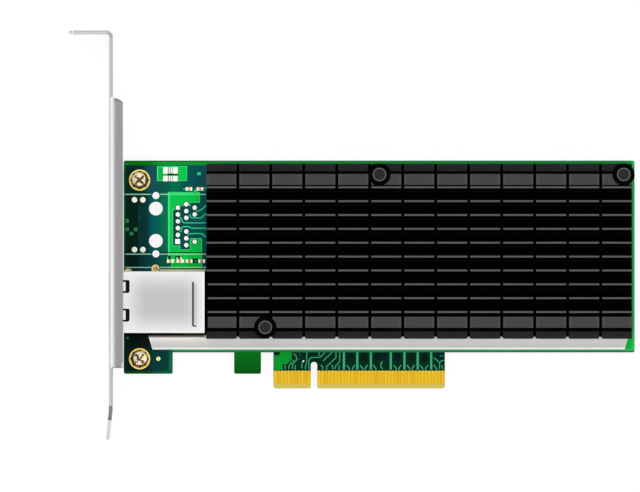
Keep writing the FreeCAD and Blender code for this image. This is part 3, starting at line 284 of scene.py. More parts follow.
class Finish:
    """One procedural material while it is being built."""

    def __init__(self, name, base, roughness, metallic=0.0, specular=0.5, **constants):
        self.material = bpy.data.materials.new(name)
        self.material.use_nodes = True
        self.tree = self.material.node_tree
        self.shader = self.tree.nodes["Principled BSDF"]
        self.set("Base Color", (*base, 1))
        self.set("Roughness", roughness)
        self.set("Metallic", metallic)
        self.set("Specular IOR Level", specular)
        for socket, value in constants.items():
            self.set(socket.replace("_", " "), value)
        self.material.diffuse_color = (*base, 1)

    def set(self, socket, value):
        """Gives a shader socket a value or a link."""
        if isinstance(value, Value):
            self.tree.links.new(value.socket, self.shader.inputs[socket])
        else:
            self.shader.inputs[socket].default_value = value

    def coat(self, shade, texture, smooth, spread):
        """Colours the surface; its roughness follows a noise up from its smoothest."""
        self.set("Base Color", shade)
        self.set("Roughness", smooth + texture * spread)
        return self

    def node(self, kind, settings=None, values=None, output=0):
        """Adds a node: its type, its settings, then the values or links of its sockets."""
        node = self.tree.nodes.new(kind)
        for name, setting in (settings or {}).items():
            if name == "stops":
                self.fill_ramp(node.color_ramp, setting)
            else:
                setattr(node, name, setting)
        for key, value in (values or {}).items():
            if isinstance(value, Value):
                self.tree.links.new(value.socket, node.inputs[key])
            else:
                node.inputs[key].default_value = value
        return Value(self, node.outputs[output])

    def fill_ramp(self, ramp, stops):
        while len(ramp.elements) < len(stops):
            ramp.elements.new(1)
        for element, (place, shade) in zip(ramp.elements, stops):
            element.position = place
            element.color = (*shade, 1)

    def place(self):
        return self.node("ShaderNodeTexCoord", output="Object")

    def scaled(self, vector, factor):
        return self.node("ShaderNodeVectorMath", {"operation": "SCALE"},
                         {0: vector, "Scale": factor})

    def parts(self, vector):
        """The three numbers of a vector."""
        split = self.node("ShaderNodeSeparateXYZ", values={0: vector}).socket.node
        return [Value(self, split.outputs[index]) for index in range(3)]

    def axes(self):
        """X, Y and Z on the object, in millimetres."""
        return self.parts(self.scaled(self.place(), 1 / MM))

    def facing(self):
        """How far a face looks up, 1 on level faces."""
        return self.parts(self.node("ShaderNodeNewGeometry", output="Normal"))[2]

    def noise(self, grain, detail=3, stretch=(1, 1, 1)):
        """Noise from 0 to 1 whose lumps are about the grain across, in millimetres."""
        mapped = self.node("ShaderNodeMapping", values={0: self.place(), "Scale": stretch})
        return self.node("ShaderNodeTexNoise", values={
            "Vector": mapped, "Scale": 1 / (grain * MM), "Detail": detail})

    def mix(self, factor, first, second):
        """Colour between two colours."""
        pair = [shade if isinstance(shade, Value) else (*shade, 1) for shade in (first, second)]
        return self.node("ShaderNodeMix", {"data_type": "RGBA"},
                         {0: factor, 6: pair[0], 7: pair[1]}, output=2)

    def vary(self, shade, noise, depth):
        """Colour that darkens and lightens with a noise by the given depth."""
        level = noise * (2 * depth) + (1 - depth)
        return self.scaled(shade if isinstance(shade, Value) else tuple(shade), level)

    def bands(self, value, stops):
        """Colour along a coordinate through stops of a place in millimetres and its tone."""
        first, last = stops[0][0], stops[-1][0]
        points = [((place - first) / (last - first), tone(*display))
                  for place, *display in stops]
        share = (value - first) * (1 / (last - first))
        return self.node("ShaderNodeValToRGB", {"stops": points}, {0: share})

    def paint(self, shade, *coats):
        """Lays coats, each a mask and its colour, over a colour one after another."""
        for mask, coat in coats:
            shade = self.mix(mask, shade, coat)
        return shade

    def patch(self, x, y, left, right, bottom, top, soft):
        """1 inside a rectangle with soft sides."""
        return x.within(left, right, soft) * y.within(bottom, top, soft)

    def reach(self, x, y, across, along, wide=1, high=1):
        """Distance from a point, in units of an ellipse's half axes."""
        sideways, upwards = (x - across) * (1 / wide), (y - along) * (1 / high)
        return (sideways * sideways + upwards * upwards).root()

    def bump(self, height, depth):
        """Relief of the given depth in millimetres."""
        values = {"Strength": 1.0, "Distance": depth * MM, "Height": height}
        self.set("Normal", self.node("ShaderNodeBump", values=values))


def dress(node, finish):
    """Gives a CAD node its material."""
    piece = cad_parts[node]
    if not piece.material_slots:
        piece.data.materials.append(finish.material)
    for slot in piece.material_slots:
        slot.material = finish.material


# ---------------------------------------------------------------- mesh making
def added(name, data):
    """New object of the scene."""
    item = bpy.data.objects.new(name, data)
    bpy.context.scene.collection.objects.link(item)
    return item


def new_piece(name, draft, finishes):
    """Turns a drafted mesh into a finished piece that rides on the card."""
    bmesh.ops.recalc_face_normals(draft, faces=draft.faces)
    mesh = bpy.data.meshes.new(name)
    draft.to_mesh(mesh)
    draft.free()
    for finish in finishes:
        mesh.materials.append(finish.material)
    piece = added(name, mesh)
    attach(piece, BODY)
    return piece


def prism(draft, outline, high, finish=0):
    """Adds a closed prism on the board's face over an outline of (x, y) points, in millimetres."""
    rings = []
    for z in (BOARD_FACE, high):
        rings.append([draft.verts.new(Vector((x, y, z)) * MM) for x, y in outline])
    faces = [draft.faces.new(rings[1]), draft.faces.new(list(reversed(rings[0])))]
    count = len(outline)
    for index in range(count):
        after = (index + 1) % count
        faces.append(draft.faces.new((rings[0][index], rings[0][after],
                                      rings[1][after], rings[1][index])))
    for face in faces:
        face.material_index = finish


def rectangle(left, right, bottom, top):
    return [(left, bottom), (right, bottom), (right, top), (left, top)]


def round_outline(x, y, radius, sides=BROAD_ROUND, start=0, turn=360):
    """Points on a circle or, for less than a whole turn, on an arc."""
    count = sides if turn == 360 else sides + 1
    angles = [math.radians(start + turn * index / sides) for index in range(count)]
    return [(x + radius * math.cos(angle), y + radius * math.sin(angle)) for angle in angles]


def ribbon_outline(points, width):
    """Outline of a flat strip of even width along a run of (x, y) points."""
    path = [Vector(point) for point in points]
    sides = ([], [])
    for index, here in enumerate(path):
        before = path[index - 1] if index else here
        after = path[index + 1] if index + 1 < len(path) else here
        directions = [step.normalized() for step in (here - before, after - here) if step.length]
        along = sum(directions, Vector((0, 0))).normalized()
        across = Vector((-along.y, along.x))
        stretch = 1 / max(0.5, along.dot(directions[0]))
        sides[0].append(here + across * width / 2 * stretch)
        sides[1].append(here - across * width / 2 * stretch)
    return [tuple(point) for point in sides[0] + sides[1][::-1]]


def rimmed(draft, outline, high, rim):
    """Adds a prism whose top has a rim of another finish all round."""
    faces_before = set(draft.faces)
    prism(draft, outline, high)
    middle = (BOARD_FACE + high) / 2 * MM
    top = [face for face in draft.faces
           if face not in faces_before and min(v.co.z for v in face.verts) > middle]
    draft.normal_update()
    made = bmesh.ops.inset_region(draft, faces=top, thickness=rim * MM, use_even_offset=True)
    for face in made["faces"]:
        face.material_index = 1


# ---------------------------------------------------------------- repeated shapes
def new_tree(name, inputs):
    """Geometry node group with a mesh of places in, named inputs and a mesh out."""
    tree = bpy.data.node_groups.new(name, "GeometryNodeTree")
    tree.interface.new_socket("Places", in_out="INPUT", socket_type="NodeSocketGeometry")
    for label, kind in inputs:
        tree.interface.new_socket(label, in_out="INPUT", socket_type="NodeSocket" + kind)
    tree.interface.new_socket("Material", in_out="INPUT", socket_type="NodeSocketMaterial")
    tree.interface.new_socket("Shapes", in_out="OUTPUT", socket_type="NodeSocketGeometry")
    return tree, tree.nodes.new("NodeGroupInput"), tree.nodes.new("NodeGroupOutput")


def tree_node(tree, kind, links, settings=None):
    """Adds a node: its type, settings, and the links or values of its sockets."""
    node = tree.nodes.new(kind)
    for name, setting in (settings or {}).items():
        setattr(node, name, setting)
    for key, value in links.items():
        if isinstance(value, bpy.types.Node):
            value = value.outputs[0]
        if isinstance(value, bpy.types.NodeSocket):
            tree.links.new(value, node.inputs[key])
        else:
            node.inputs[key].default_value = value
    return node


def close_tree(tree, source, sink, shape):
    """Puts the shape on every place, makes it real and gives it the material."""
    copies = tree_node(tree, "GeometryNodeInstanceOnPoints",
                       {"Points": source.outputs["Places"], "Instance": shape})
    real = tree_node(tree, "GeometryNodeRealizeInstances", {0: copies})
    dressed = tree_node(tree, "GeometryNodeSetMaterial",
                        {"Geometry": real, "Material": source.outputs["Material"]})
    tree.links.new(dressed.outputs[0], sink.inputs[0])
    return tree


def ring_tree():
    """Flat ring of rectangular section."""
    tree, source, sink = new_tree("Rings", (("Radius", "Float"), ("Width", "Float"),
                                            ("Height", "Float"), ("Sides", "Int")))
    half = tree_node(tree, "ShaderNodeMath", {0: source.outputs["Width"], 1: 2},
                     {"operation": "DIVIDE"})
    middle = tree_node(tree, "ShaderNodeMath", {0: source.outputs["Radius"], 1: half},
                       {"operation": "SUBTRACT"})
    path = tree_node(tree, "GeometryNodeCurvePrimitiveCircle",
                     {"Resolution": source.outputs["Sides"], "Radius": middle})
    section = tree_node(tree, "GeometryNodeCurvePrimitiveQuadrilateral",
                        {"Width": source.outputs["Width"], "Height": source.outputs["Height"]})
    ring = tree_node(tree, "GeometryNodeCurveToMesh",
                     {"Curve": path, "Profile Curve": section})
    return close_tree(tree, source, sink, ring)


def box_tree():
    """Box centred on its place."""
    tree, source, sink = new_tree("Caps", (("Size", "Vector"),))
    cube = tree_node(tree, "GeometryNodeMeshCube", {"Size": source.outputs["Size"]})
    return close_tree(tree, source, sink, cube)


def cone_tree():
    """Solder fillet that narrows away from the board."""
    tree, source, sink = new_tree("Fillets", (("Foot", "Float"), ("Tip", "Float"),
                                              ("Height", "Float"), ("Sides", "Int")))
    cone = tree_node(tree, "GeometryNodeMeshCone",
                     {"Vertices": source.outputs["Sides"], "Radius Bottom": source.outputs["Foot"],
                      "Radius Top": source.outputs["Tip"], "Depth": source.outputs["Height"]})
    return close_tree(tree, source, sink, cone)


def repeated(name, tree, places, inputs, finish):
    """Runs a tree over places, given in millimetres, and keeps the result as a plain mesh."""
    seeds = bpy.data.meshes.new(name + "_places")
    seeds.from_pydata([Vector(place) * MM for place in places], [], [])
    carrier = added(name + "_places", seeds)
    modifier = carrier.modifiers.new("shapes", "NODES")
    modifier.node_group = tree
    identifiers = {item.name: item.identifier for item in tree.interface.items_tree
                   if item.in_out == "INPUT"}
    for label, value in inputs.items():
        modifier[identifiers[label]] = value
    modifier[identifiers["Material"]] = finish.material
    evaluated = carrier.evaluated_get(bpy.context.evaluated_depsgraph_get())
    mesh = bpy.data.meshes.new_from_object(evaluated)
    carrier.modifiers.remove(modifier)
    bpy.data.objects.remove(carrier)
    draft = bmesh.new()
    draft.from_mesh(mesh)
    for face in draft.faces:
        face.material_index = 0
    bpy.data.meshes.remove(mesh)
    return new_piece(name, draft, [finish])


# ---------------------------------------------------------------- finishes
# Masks take their places in millimetres; the last number of each is the width of its soft edge.
FAINT = 0.03                       # gloss level of the dark plastics and the mask
HALF_ROOT = math.sqrt(0.5)
VISIBLE_LEFT = -56.72              # where the bracket's lips leave the board free
SCREW_SIDE = -49.06                # right of the ring round each bracket screw
LONG_EDGE = 10.8                   # the board's long lower edge
LONG_EDGE_LEFT = -42.3
UPPER_LINE, LOWER_LINE = 58.33, 40.23      # printed lines that part the spare port's area
FOOT_TOP = 16.9                    # mask below the jack

UPPER_TONES = (                    # place, then red, green and blue
    (VISIBLE_LEFT, 0, 80, 32), (-55.64, 0, 48, 40), (-52.05, 2, 48, 52), (-49.66, 16, 78, 88),
    (-48.16, 26, 84, 94), (-46.66, 8, 86, 82), (-43.37, 2, 98, 80), (-42.78, 0, 116, 80),
    (-40.38, 0, 116, 80), (-39.19, 0, 92, 84), (-34.1, 4, 88, 90), (-32.31, 26, 92, 100))
MIDDLE_TONES = (
    (VISIBLE_LEFT, 0, 76, 32), (-55.79, 0, 42, 28), (-52.95, 0, 36, 28), (-52.47, 6, 56, 54),
    (-49.96, 0, 58, 56), (-49.36, 2, 78, 76), (-47.56, 6, 98, 100), (-46.52, 2, 98, 84),
    (-45.77, 2, 114, 80), (-43.67, 4, 120, 84), (-42.48, 2, 82, 74), (-32.31, 4, 90, 88))
LOWER_TONES = (
    (VISIBLE_LEFT, 0, 60, 30), (-55.64, 0, 40, 32), (-52.95, 0, 40, 36), (-52.35, 2, 54, 54),
    (-49.06, 2, 70, 72), (-46.96, 2, 82, 76), (-45.47, 0, 96, 70), (-32.31, 10, 76, 84))
FOOT_TONES = (
    (VISIBLE_LEFT, 4, 44, 28), (-55.64, 6, 34, 26), (-53.84, 2, 28, 24), (-49.66, 8, 42, 42),
    (-48.46, 4, 55, 62), (-46.07, 2, 62, 57), (-43.67, 2, 64, 56), (-43.08, 16, 108, 80),
    (-42.33, 18, 112, 80))


def board_finish(c):
    """Solder mask whose colour follows the copper under it, bare laminate at the cut sides."""
    f = Finish("solder_mask", c.mask_mid, 0.45, specular=FAINT)
    x, y, _ = f.axes()
    shade = f.paint(
        f.bands(x, MIDDLE_TONES),
        (y.above(UPPER_LINE, 0.8), f.bands(x, UPPER_TONES)),
        (y.below(LOWER_LINE, 1.2), f.bands(x, LOWER_TONES)),
        (y.below(FOOT_TOP, 0.1), foot_shade(f, x, y)))
    long_edge = x.above(LONG_EDGE_LEFT, 0.1)
    shade = f.paint(
        f.vary(shade, f.noise(7, 2), 0.1),
        (f.patch(x, y, -49.51, -47.11, 46.81, 53.1, 2) * 0.5, tone(0, 96, 106)),
        (f.patch(x, y, -46.66, -43.67, 40.53, 46.81, 2) * 0.5, tone(0, 84, 64)),
        (y.within(66.38, 66.74, 0.25) * x.below(SCREW_SIDE, 3), tone(0, 62, 24)),
        (y.above(66.68, 0.25), f.mix(x.above(SCREW_SIDE, 3), tone(0, 126, 14), tone(14, 158, 50))),
        (y.above(67.57, 0.3), f.mix(x.above(-47.86, 3), tone(4, 116, 26), tone(12, 124, 44))),
        # Painted shadow in the gap between the jack and the heatsink.
        (f.patch(x, y, -33.05, -31.41, 15.7, 35.03, 0.1), tone(0)),
        (y.above(67.45, 0.2) * x.above(-32.61, 3), tone(44, 156, 86)),
        (f.patch(x, y, 92.73, 95.24, 10.92, 15.41, 0.2), tone(6, 190, 62)),
        (x.above(94.91, 0.3), tone(44, 194, 96)),
        (y.within(10.83, 11.76, 0.1) * long_edge, c.mask_edge),
        # Painted highlight along the board's long edge, by the bar.
        (y.within(11.43, 11.76, 0.15) * long_edge, tone(120, 210, 160)))
    low = y.below(LONG_EDGE, 0.1)
    plated = x.within(CONTACTS_LOW.x - 0.9, CONTACTS_HIGH.x + 0.9, 0.1)
    shade = f.paint(
        shade,
        (low * x.within(-25, -15, 0.1), f.mix(y.above(4.5, 6), c.mask_tab, tone(0, 118, 22))),
        (low * x.above(CONTACTS_LOW.x - 1.5, 0.1), lane_shade(f, x, y)),
        (plated * y.below(CONTACTS_HIGH.y - 0.25, 0.1), [0.85 * v for v in c.gold]))
    level = abs(f.facing())
    bevel = level.within(0.1, 0.99, 0.01) * y.below(1.0, 0.05)
    shade = f.paint(shade, (level.below(0.5, 0.1), f.vary(c.laminate, f.noise(0.4), 0.3)),
                    (bevel, c.gold_pale))
    f.bump(f.noise(0.5, 1), 0.006)
    return f.coat(shade, f.noise(1.5), 0.38, 0.16)


def foot_shade(f, x, y):
    """Mask below the jack, darkest in the shade of the jack and the bar."""
    return f.paint(
        f.bands(x, FOOT_TONES),
        (y.above(12.11, 3) * x.below(SCREW_SIDE, 1), tone(0, 21, 17)),
        (f.patch(x, y, -52.95, SCREW_SIDE, 11.82, 16.6, 1), tone(16, 22, 24)),
        (y.above(15.7, 0.2), f.mix(x.above(-39.19, 1), tone(0), tone(118, 88, 2))),
        (y.below(5.17, 0.2), f.mix(x.above(SCREW_SIDE, 4), tone(8, 70, 24), tone(4, 96, 62))))


def lane_shade(f, x, y):
    """Blocks of dark inner copper between the lanes that run up from the contacts."""
    block = f.mix(f.noise(2.4, 1).above(0.45, 0.2), tone(0, 28, 26), tone(2, 36, 44))
    halo = y.below(7.6, 1.2).most(y.above(10.2, 0.6))
    for lane in LANE_PLACES:
        halo = halo.most(abs(x - lane).below(0.7, 0.8))
    return f.mix(halo.most(x.below(8.67, 2) * 0.7) * 0.8, block, tone(0, 50, 20))


def gold_finish(name, c):
    """Plated copper with fine wipe marks along the contacts."""
    f = Finish(name, c.gold, 0.36, metallic=0.35, specular=0.1)
    y = f.axes()[1]
    wipe = f.noise(0.6, 2, stretch=(4, 0.5, 1))
    batch = f.noise(2.2, 1, stretch=(1, 0.1, 1)).above(0.5, 0.1)
    shade = f.paint(
        f.vary(f.mix(batch, c.gold, c.gold_deep), wipe, 0.1),
        (y.below(CONTACTS_LOW.y + 0.25, 0.3), c.gold_pale),
        (y.above(CONTACTS_HIGH.y - 0.45, 0.3) * 0.7, tone(246, 214, 110)))
    return f.coat(shade, wipe, 0.3, 0.16)


SHEET, SHADED_SHEET_EDGE, SHADED_LIP_END, LIGHTENED_FAR_LIP = 205, 172, 136, 240        # tones of the bracket: plain, then painted shade, painted shade and painted light
# Painted shade where the tongue's shoulders slope away, lighter on the tongue below.
TONGUE_SHADE_TONES = ((-5.15, 0.05, 133), (-8.6, 0.1, 112), (-9.4, 0.1, 216))     # top, soft, tone
# Painted highlight on the bend from plate to lip, fading to the lip's grey.
LIP_HIGHLIGHT_TONES = ((0.2, 200), (0.5, 216), (0.85, 246), (1.1, 238), (1.4, 212), (1.75, 182),
             (2.05, 161, 160, 161), (2.5, 157, 155, 157))


def bracket_finish(c):
    """Nickel-plated sheet, brushed along its length, with painted highlights and painted shade at
    its bends, edges and tips, and a painted glow where it shows between lip and board.
    """
    f = Finish("nickel_sheet", c.nickel, 0.35, metallic=1.0, Emission_Strength=1.0)
    x, y, z = f.axes()
    brushed = f.noise(0.7, 3, stretch=(3, 0.08, 3))
    side = x - BRACKET_LOW.x                   # from the flange's tip
    plate = side - (PLATE_INNER - BRACKET_LOW.x - 1.1)
    end = BRACKET_HIGH.y
    flange = y.above(end - 1.25, 0.15) * plate.below(-0.3, 0.15)
    # Painted shade along the flange's bent corner.
    corner = abs(plate + (y - end) + 1.0).below(0.25, 0.3)
    corner = corner * y.above(end - 2, 0.1) * plate.above(-0.6, 0.3)
    # Painted light on the lips: a highlight at the bend, shade at the lip's end, the far lip
    # lightened out of its shade.
    lips = f.paint(f.bands(plate, LIP_HIGHLIGHT_TONES),
                   (y.above(85.4, 0.6) * plate.above(1.4, 0.6), tone(SHADED_LIP_END)),
                   (z.below(BRACKET_HIGH.z - 6, 0.5), tone(LIGHTENED_FAR_LIP)))
    # Painted shade across the plate's edge and on the flange's upper edge; painted highlights on
    # the tongue's tip and the flange's tip.
    shade = f.paint(
        f.mix(plate.above(0.55, 0.4), tone(SHEET), tone(SHADED_SHEET_EDGE)),
        (y.within(6.28, 87.2, 0.2), lips),
        *[(y.below(place, soft), tone(grey)) for place, soft, grey in TONGUE_SHADE_TONES],
        (f.reach(x, y, -62.85, -14.4, 0.35, 0.55).below(1, 0.4), tone(255)),
        (flange, f.mix(y.above(end - 0.5, 0.25), tone(207), tone(186))),
        (corner, tone(160)),
        (flange * side.within(0.8, 1.4, 0.2), tone(240)))
    upward = f.facing()
    shade = f.vary(f.mix(upward.above(0.12, 0.15), c.nickel, shade), brushed, 0.05)
    # Painted glow: emission lightens the shaded ear seen in the gap between lip and board.
    gap = x.within(-57.34, VISIBLE_LEFT, 0.1) * z.below(BOARD_FACE, 0.1) * upward.above(0.7, 0.1)
    f.set("Emission Color", f.mix(gap, tone(0), tone(150, 176, 158)))
    f.bump(brushed, 0.003)
    return f.coat(shade, brushed, 0.3, 0.12)


SCREW_LEANS = ((0.24, 0.3), (-0.3, 0.36))       # which way each screw's head shines
HEAD, RECESS = 2.5, 1.75           # radii of the screw's head and of its dished middle
# Washer rim tones: painted highlight brightening towards the outer edge.
SCREW_RIM_LIGHT = ((HEAD, 196, 140, 26), (2.8, 236, 202, 90), (3.15, 252, 240, 150))


def zinc_finish(name, c, metallic):
    """Yellow passivated steel with painted light: painted shade in its recess and on one side
    round its head, painted highlights on its crown, beside its recess and on the washer rims, and
    a faint painted glow.
    """
    f = Finish(name, c.zinc, 0.3, metallic=metallic, specular=0.1, Emission_Strength=0.15)
    x, y, z = f.axes()
    mottle = f.noise(0.8, 3)
    # The crown mottles between the pale polish with its painted highlights and the shaded brown.
    shade = f.mix(z.above(SCREW_TOP - 1.0, 0.2), c.zinc,
                  f.mix(mottle.above(0.6, 0.1), c.zinc_pale_polish_and_highlight, c.zinc_brown))
    swirl = (mottle - 0.5) * 2.4
    screws = [(low + high) / 2 for low, high in solids_of("bracket_screws")]
    for middle, (sideways, upwards) in zip(screws, SCREW_LEANS):
        across, along = x - middle.x, y - middle.y
        reach = f.reach(x, y, middle.x, middle.y)
        shade_side_reach = f.reach(x, y, middle.x + sideways, middle.y + upwards)
        rise, fall = abs(across + along) * HALF_ROOT, abs(across - along) * HALF_ROOT
        cross = rise.least(fall) + swirl
        inside = reach.below(RECESS, 0.25)
        # Painted light: bright washer rims, painted shade on one side round the head, painted
        # highlights beside the recess and painted shade in it.
        shade = f.paint(
            shade,
            (reach.within(HEAD - 0.05, 3.4, 0.1), f.bands(reach, SCREW_RIM_LIGHT)),
            (shade_side_reach.above(1.95, 0.2) * reach.below(HEAD, 0.12) * 0.94, c.zinc_brown),
            (cross.within(0.25, 0.7, 0.14) * inside, tone(255, 250, 232)),
            (cross.below(0.3, 0.12) * inside * 0.9, c.zinc_brown))
    # Painted glow: the head's colour also glows faintly.
    f.set("Emission Color", shade)
    return f.coat(shade, mottle, 0.22, 0.2)


def shield_finish(c):
    """Bright tinned sheet with painted light: painted shade at its middle, painted highlights
    along its edges, and painted shade along the pressed groove's left wall and ramp.
    """
    f = Finish("tinned_shield", c.tin, 0.38, metallic=1.0)
    x, y, z = f.axes()
    grain = f.noise(0.8, 3, stretch=(0.15, 3, 1))
    front, back = y - JACK_LOW.y, JACK_HIGH.y - y
    left, right = x - VISIBLE_LEFT, JACK_HIGH.x - x
    # The glow below is painted light: the roof lightens towards its edges, with painted shade at
    # its middle.
    edge_light_width, falloff = 6.9, 1.5
    sideways, upwards = [(1 - edge * (1 / edge_light_width)).most(0).power(falloff)
                         for edge in (left.least(right), front.least(back))]
    glow = sideways + upwards - sideways * upwards
    groove = f.patch(x, y, -36.52, -35.72, 18.58, 32.01, 0.2)
    hook = f.patch(x, y, -36.2, -35.0, 18.4, 19.05, 0.2)
    painted_light_roof = f.paint(
        f.mix(glow, c.tin_shaded_middle, tone(240)),
        # Painted highlight on the front and right edges; painted shade on the groove's ramp and
        # its dark wall.
        (front.least(right).below(0.3, 0.2), tone(252)),
        (f.patch(x, y, -35.9, -34.7, 19.05, 31.56, 0.4) * 0.6, tone(196)),
        (groove.most(hook) * 0.94, tone(40)))
    top = z.above(JACK_HIGH.z - 0.6, 0.1) * f.facing().above(0.7, 0.2)
    shade = f.vary(f.mix(top, [0.86 * v for v in c.tin], painted_light_roof), grain, 0.03)
    return f.coat(shade, grain, 0.32, 0.14)


# Tones across the bar are painted light: highlights on its lower chamfer and upper edge, shade
# between.
BAR_LIGHT_TONES = ((11.7, 196, 200, 200), (11.94, 246, 252, 250), (12.17, 246, 252, 250),
             (12.41, 208, 208, 204), (13.01, 214, 213, 208), (14.21, 243, 241, 238),
             (14.87, 253, 252, 250))
BAR_SHADE = 15.14                  # where the heatsink starts to shade the bar


def bar_finish(c):
    """Satin extruded bar with drawing lines along it, painted highlights on its edges and painted
    shade under the jack and the heatsink.
    """
    f = Finish("satin_bar", c.bar, 0.45, metallic=0.5, specular=0.1)
    x, y, _ = f.axes()
    drawn = f.noise(0.35, 2, stretch=(0.03, 2, 2))
    shaded = y.above(BAR_SHADE, 0.35)
    shade = f.paint(
        f.bands(y, BAR_LIGHT_TONES),
        (f.patch(x, y, SCREW_SIDE, -32.61, 12.41, 15.11, 1.5) * 0.45, tone(214, 206, 212)),
        # Painted shade under the heatsink and the jack, lighter past the jack; painted highlight
        # under the heatsink's edge.
        (shaded, f.mix(y.above(BAR_SHADE + 0.5, 0.5), tone(128, 126, 108), tone(64, 66, 44))),
        (shaded * x.above(-33.2, 0.5), tone(206, 204, 198)),
        (y.above(14.84, 0.3) * x.above(-32.16, 0.2), tone(244, 246, 244)))
    return f.coat(f.vary(shade, drawn, 0.03), drawn, 0.4, 0.12)


CHANNEL_DEPTH, LEDGE_DEPTH, LAND_DEPTH = 6.2, 5, 0.75      # below the fin tops
HALF_CUT, HALF_CROWN = 0.42, 0.2       # of a saw cut and of a fin's top with its painted sheen
CHANNEL_HIGHLIGHT = 1.25                # a fin's middle to the faint painted highlight line beside it


def anodised_finish(c):
    """Black anodising with painted light: painted sheen on the tops, brightest on the fin crowns
    and the lands' cut edges, painted shade in the deep black channels and saw cuts, and a faint
    painted highlight line in each channel.
    """
    f = Finish("black_anodising", c.sink_black_channel_shade, 0.5, specular=0.01)
    x, y, z = f.axes()
    level = f.facing().above(0.5, 0.2)
    wear = f.noise(0.6, 3, stretch=(0.3, 1, 1))
    top = SINK_HIGH.z
    block = (x - (SINK_LOW.x + FIRST_SLOT)).cycle(SLOT_PITCH)
    cut = block.least(SLOT_PITCH - block)
    solid = cut.above(HALF_CUT, 0.06)
    fin = (y - (SINK_LOW.y + FIRST_FIN - FIN_PITCH / 2)).cycle(FIN_PITCH) - FIN_PITCH / 2
    crown = abs(fin).below(HALF_CROWN, 0.12)
    line = abs(fin + CHANNEL_HIGHLIGHT).below(0.08, 0.12)
    # The lands lighten towards each saw cut: a painted edge highlight.
    land_with_edge_highlight = f.mix(cut.below(1.1, 0.15) * 0.6, c.land_top_sheen, [1.35 * v for v in c.land_top_sheen])
    nick = (cut + (y - SINK_LOW.y) * 0.7).below(0.34, 0.08) * y.below(SINK_LOW.y + 0.4, 0.1)
    # All coats but the nick and the sides are painted light: a faint highlight line on the channel
    # floors, sheen on ledges, lands and fin crowns; the rest stays black as painted shade.
    shade = f.paint(
        c.sink_black_channel_shade,
        (z.below(top - CHANNEL_DEPTH, 0.1) * level * line, [0.006] * 3),
        (z.within(top - LEDGE_DEPTH, top - LEDGE_DEPTH + 0.4, 0.1) * level, c.ledge_top_sheen),
        (z.within(top - LAND_DEPTH, top - LAND_DEPTH + 0.35, 0.1) * level * solid, land_with_edge_highlight),
        (z.above(top - 0.1, 0.05) * level * solid * crown, c.fin_top_sheen),
        (nick * z.above(top - 6, 0.1), tone(200, 206, 203)),
        (f.facing().below(0.5, 0.2), c.sink_side))
    f.bump(wear, 0.004)
    return f.coat(f.vary(shade, wear, 0.08), wear, 0.45, 0.15)


def nylon_finish(c):
    """Black nylon with a painted highlight on its button rims."""
    f = Finish("black_nylon", c.nylon, 0.5, specular=0.015)
    z = f.axes()[2]
    texture = f.noise(0.5, 2)
    level = f.facing().above(0.5, 0.2)
    rim = PIN_TOP - 0.1
    # Painted highlight on the button rims.
    shade = f.paint(c.nylon, (z.within(rim - 0.25, rim, 0.05) * level, c.nylon_dish),
                    (z.above(rim, 0.05) * level, c.nylon_rim_highlight))
    return f.coat(f.vary(shade, texture, 0.1), texture, 0.42, 0.16)


def speckled(f, shade, texture, depth, smooth, spread):
    """Ends a plain finish: one noise varies both its colour and its roughness."""
    return f.coat(f.vary(shade, texture, depth), texture, smooth, spread)


def moulded_finish(name, base, roughness=0.55, grain=0.35, specular=FAINT):
    """Moulded plastic with the fine texture of its tool."""
    f = Finish(name, base, roughness, specular=specular)
    texture = f.noise(grain, 2)
    f.bump(texture, 0.01)
    return speckled(f, base, texture, 0.12, roughness - 0.08, 0.16)


def metal_finish(name, base, roughness=0.35, grain=0.5):
    """Plain metal with a light grain."""
    f = Finish(name, base, roughness, metallic=1.0)
    return speckled(f, base, f.noise(grain), 0.06, roughness - 0.06, 0.12)


def mask_finish(name, base):
    """Solder mask over a piece of outer copper."""
    f = Finish(name, base, 0.42, specular=FAINT)
    return speckled(f, base, f.noise(4, 2), 0.05, 0.38, 0.1)


def chip_finish(name, base, low_left=None, low_right=None):
    """Ceramic body, slightly speckled; the row by the jack may be of other batches."""
    f = Finish(name, base, 0.5, specular=0.1)
    shade = base
    if low_left:
        x, y, _ = f.axes()
        shade = f.mix(y.below(SPARE_PORT_Y, 1), base,
                      f.mix(x.above(-39.04, 0.1), low_left, low_right))
    return speckled(f, shade, f.noise(0.25, 2), 0.12, 0.42, 0.16)


def solder_finish(name, base):
    """Matt tin with a soft mottle and a faint painted glow that lifts it out of the shade of the
    parts round it.
    """
    f = Finish(name, base, 0.5, metallic=0.1, specular=FAINT, Emission_Strength=0.2)
    mottle = f.noise(0.4, 3)
    shade = f.vary(base, mottle, 0.05)
    # Painted glow: the tin's own colour also glows faintly.
    f.set("Emission Color", shade)
    return f.coat(shade, mottle, 0.44, 0.12)


def plane_finish(c):
    """Bright mask over outer copper, lighter under the printed line and deeper at its left."""
    f = Finish("plane_mask", c.plane, 0.42, specular=FAINT)
    x, y, _ = f.axes()
    shade = f.paint(
        c.plane,
        (y.within(58.18, 58.66, 0.2) * x.above(-43.97, 0.1), tone(40, 226, 104)),
        (f.patch(x, y, -46.96, -43.97, 62.01, 66.56, 0.8), tone(4, 190, 78)),
        (f.patch(x, y, -44.27, -43.08, 39.64, 59.08, 0.2), c.plane_rim),
        (f.patch(x, y, -47.56, -46.55, 62.01, 66.56, 0.15), c.plane_rim),
        (f.patch(x, y, -42.45, -42.12, 42.93, 53.4, 0.15) * 0.7, tone(100, 170, 70)),
        (y.below(37.24, 1.2) * 0.5, tone(0, 190, 50)))
    return speckled(f, shade, f.noise(4, 2), 0.04, 0.38, 0.1)


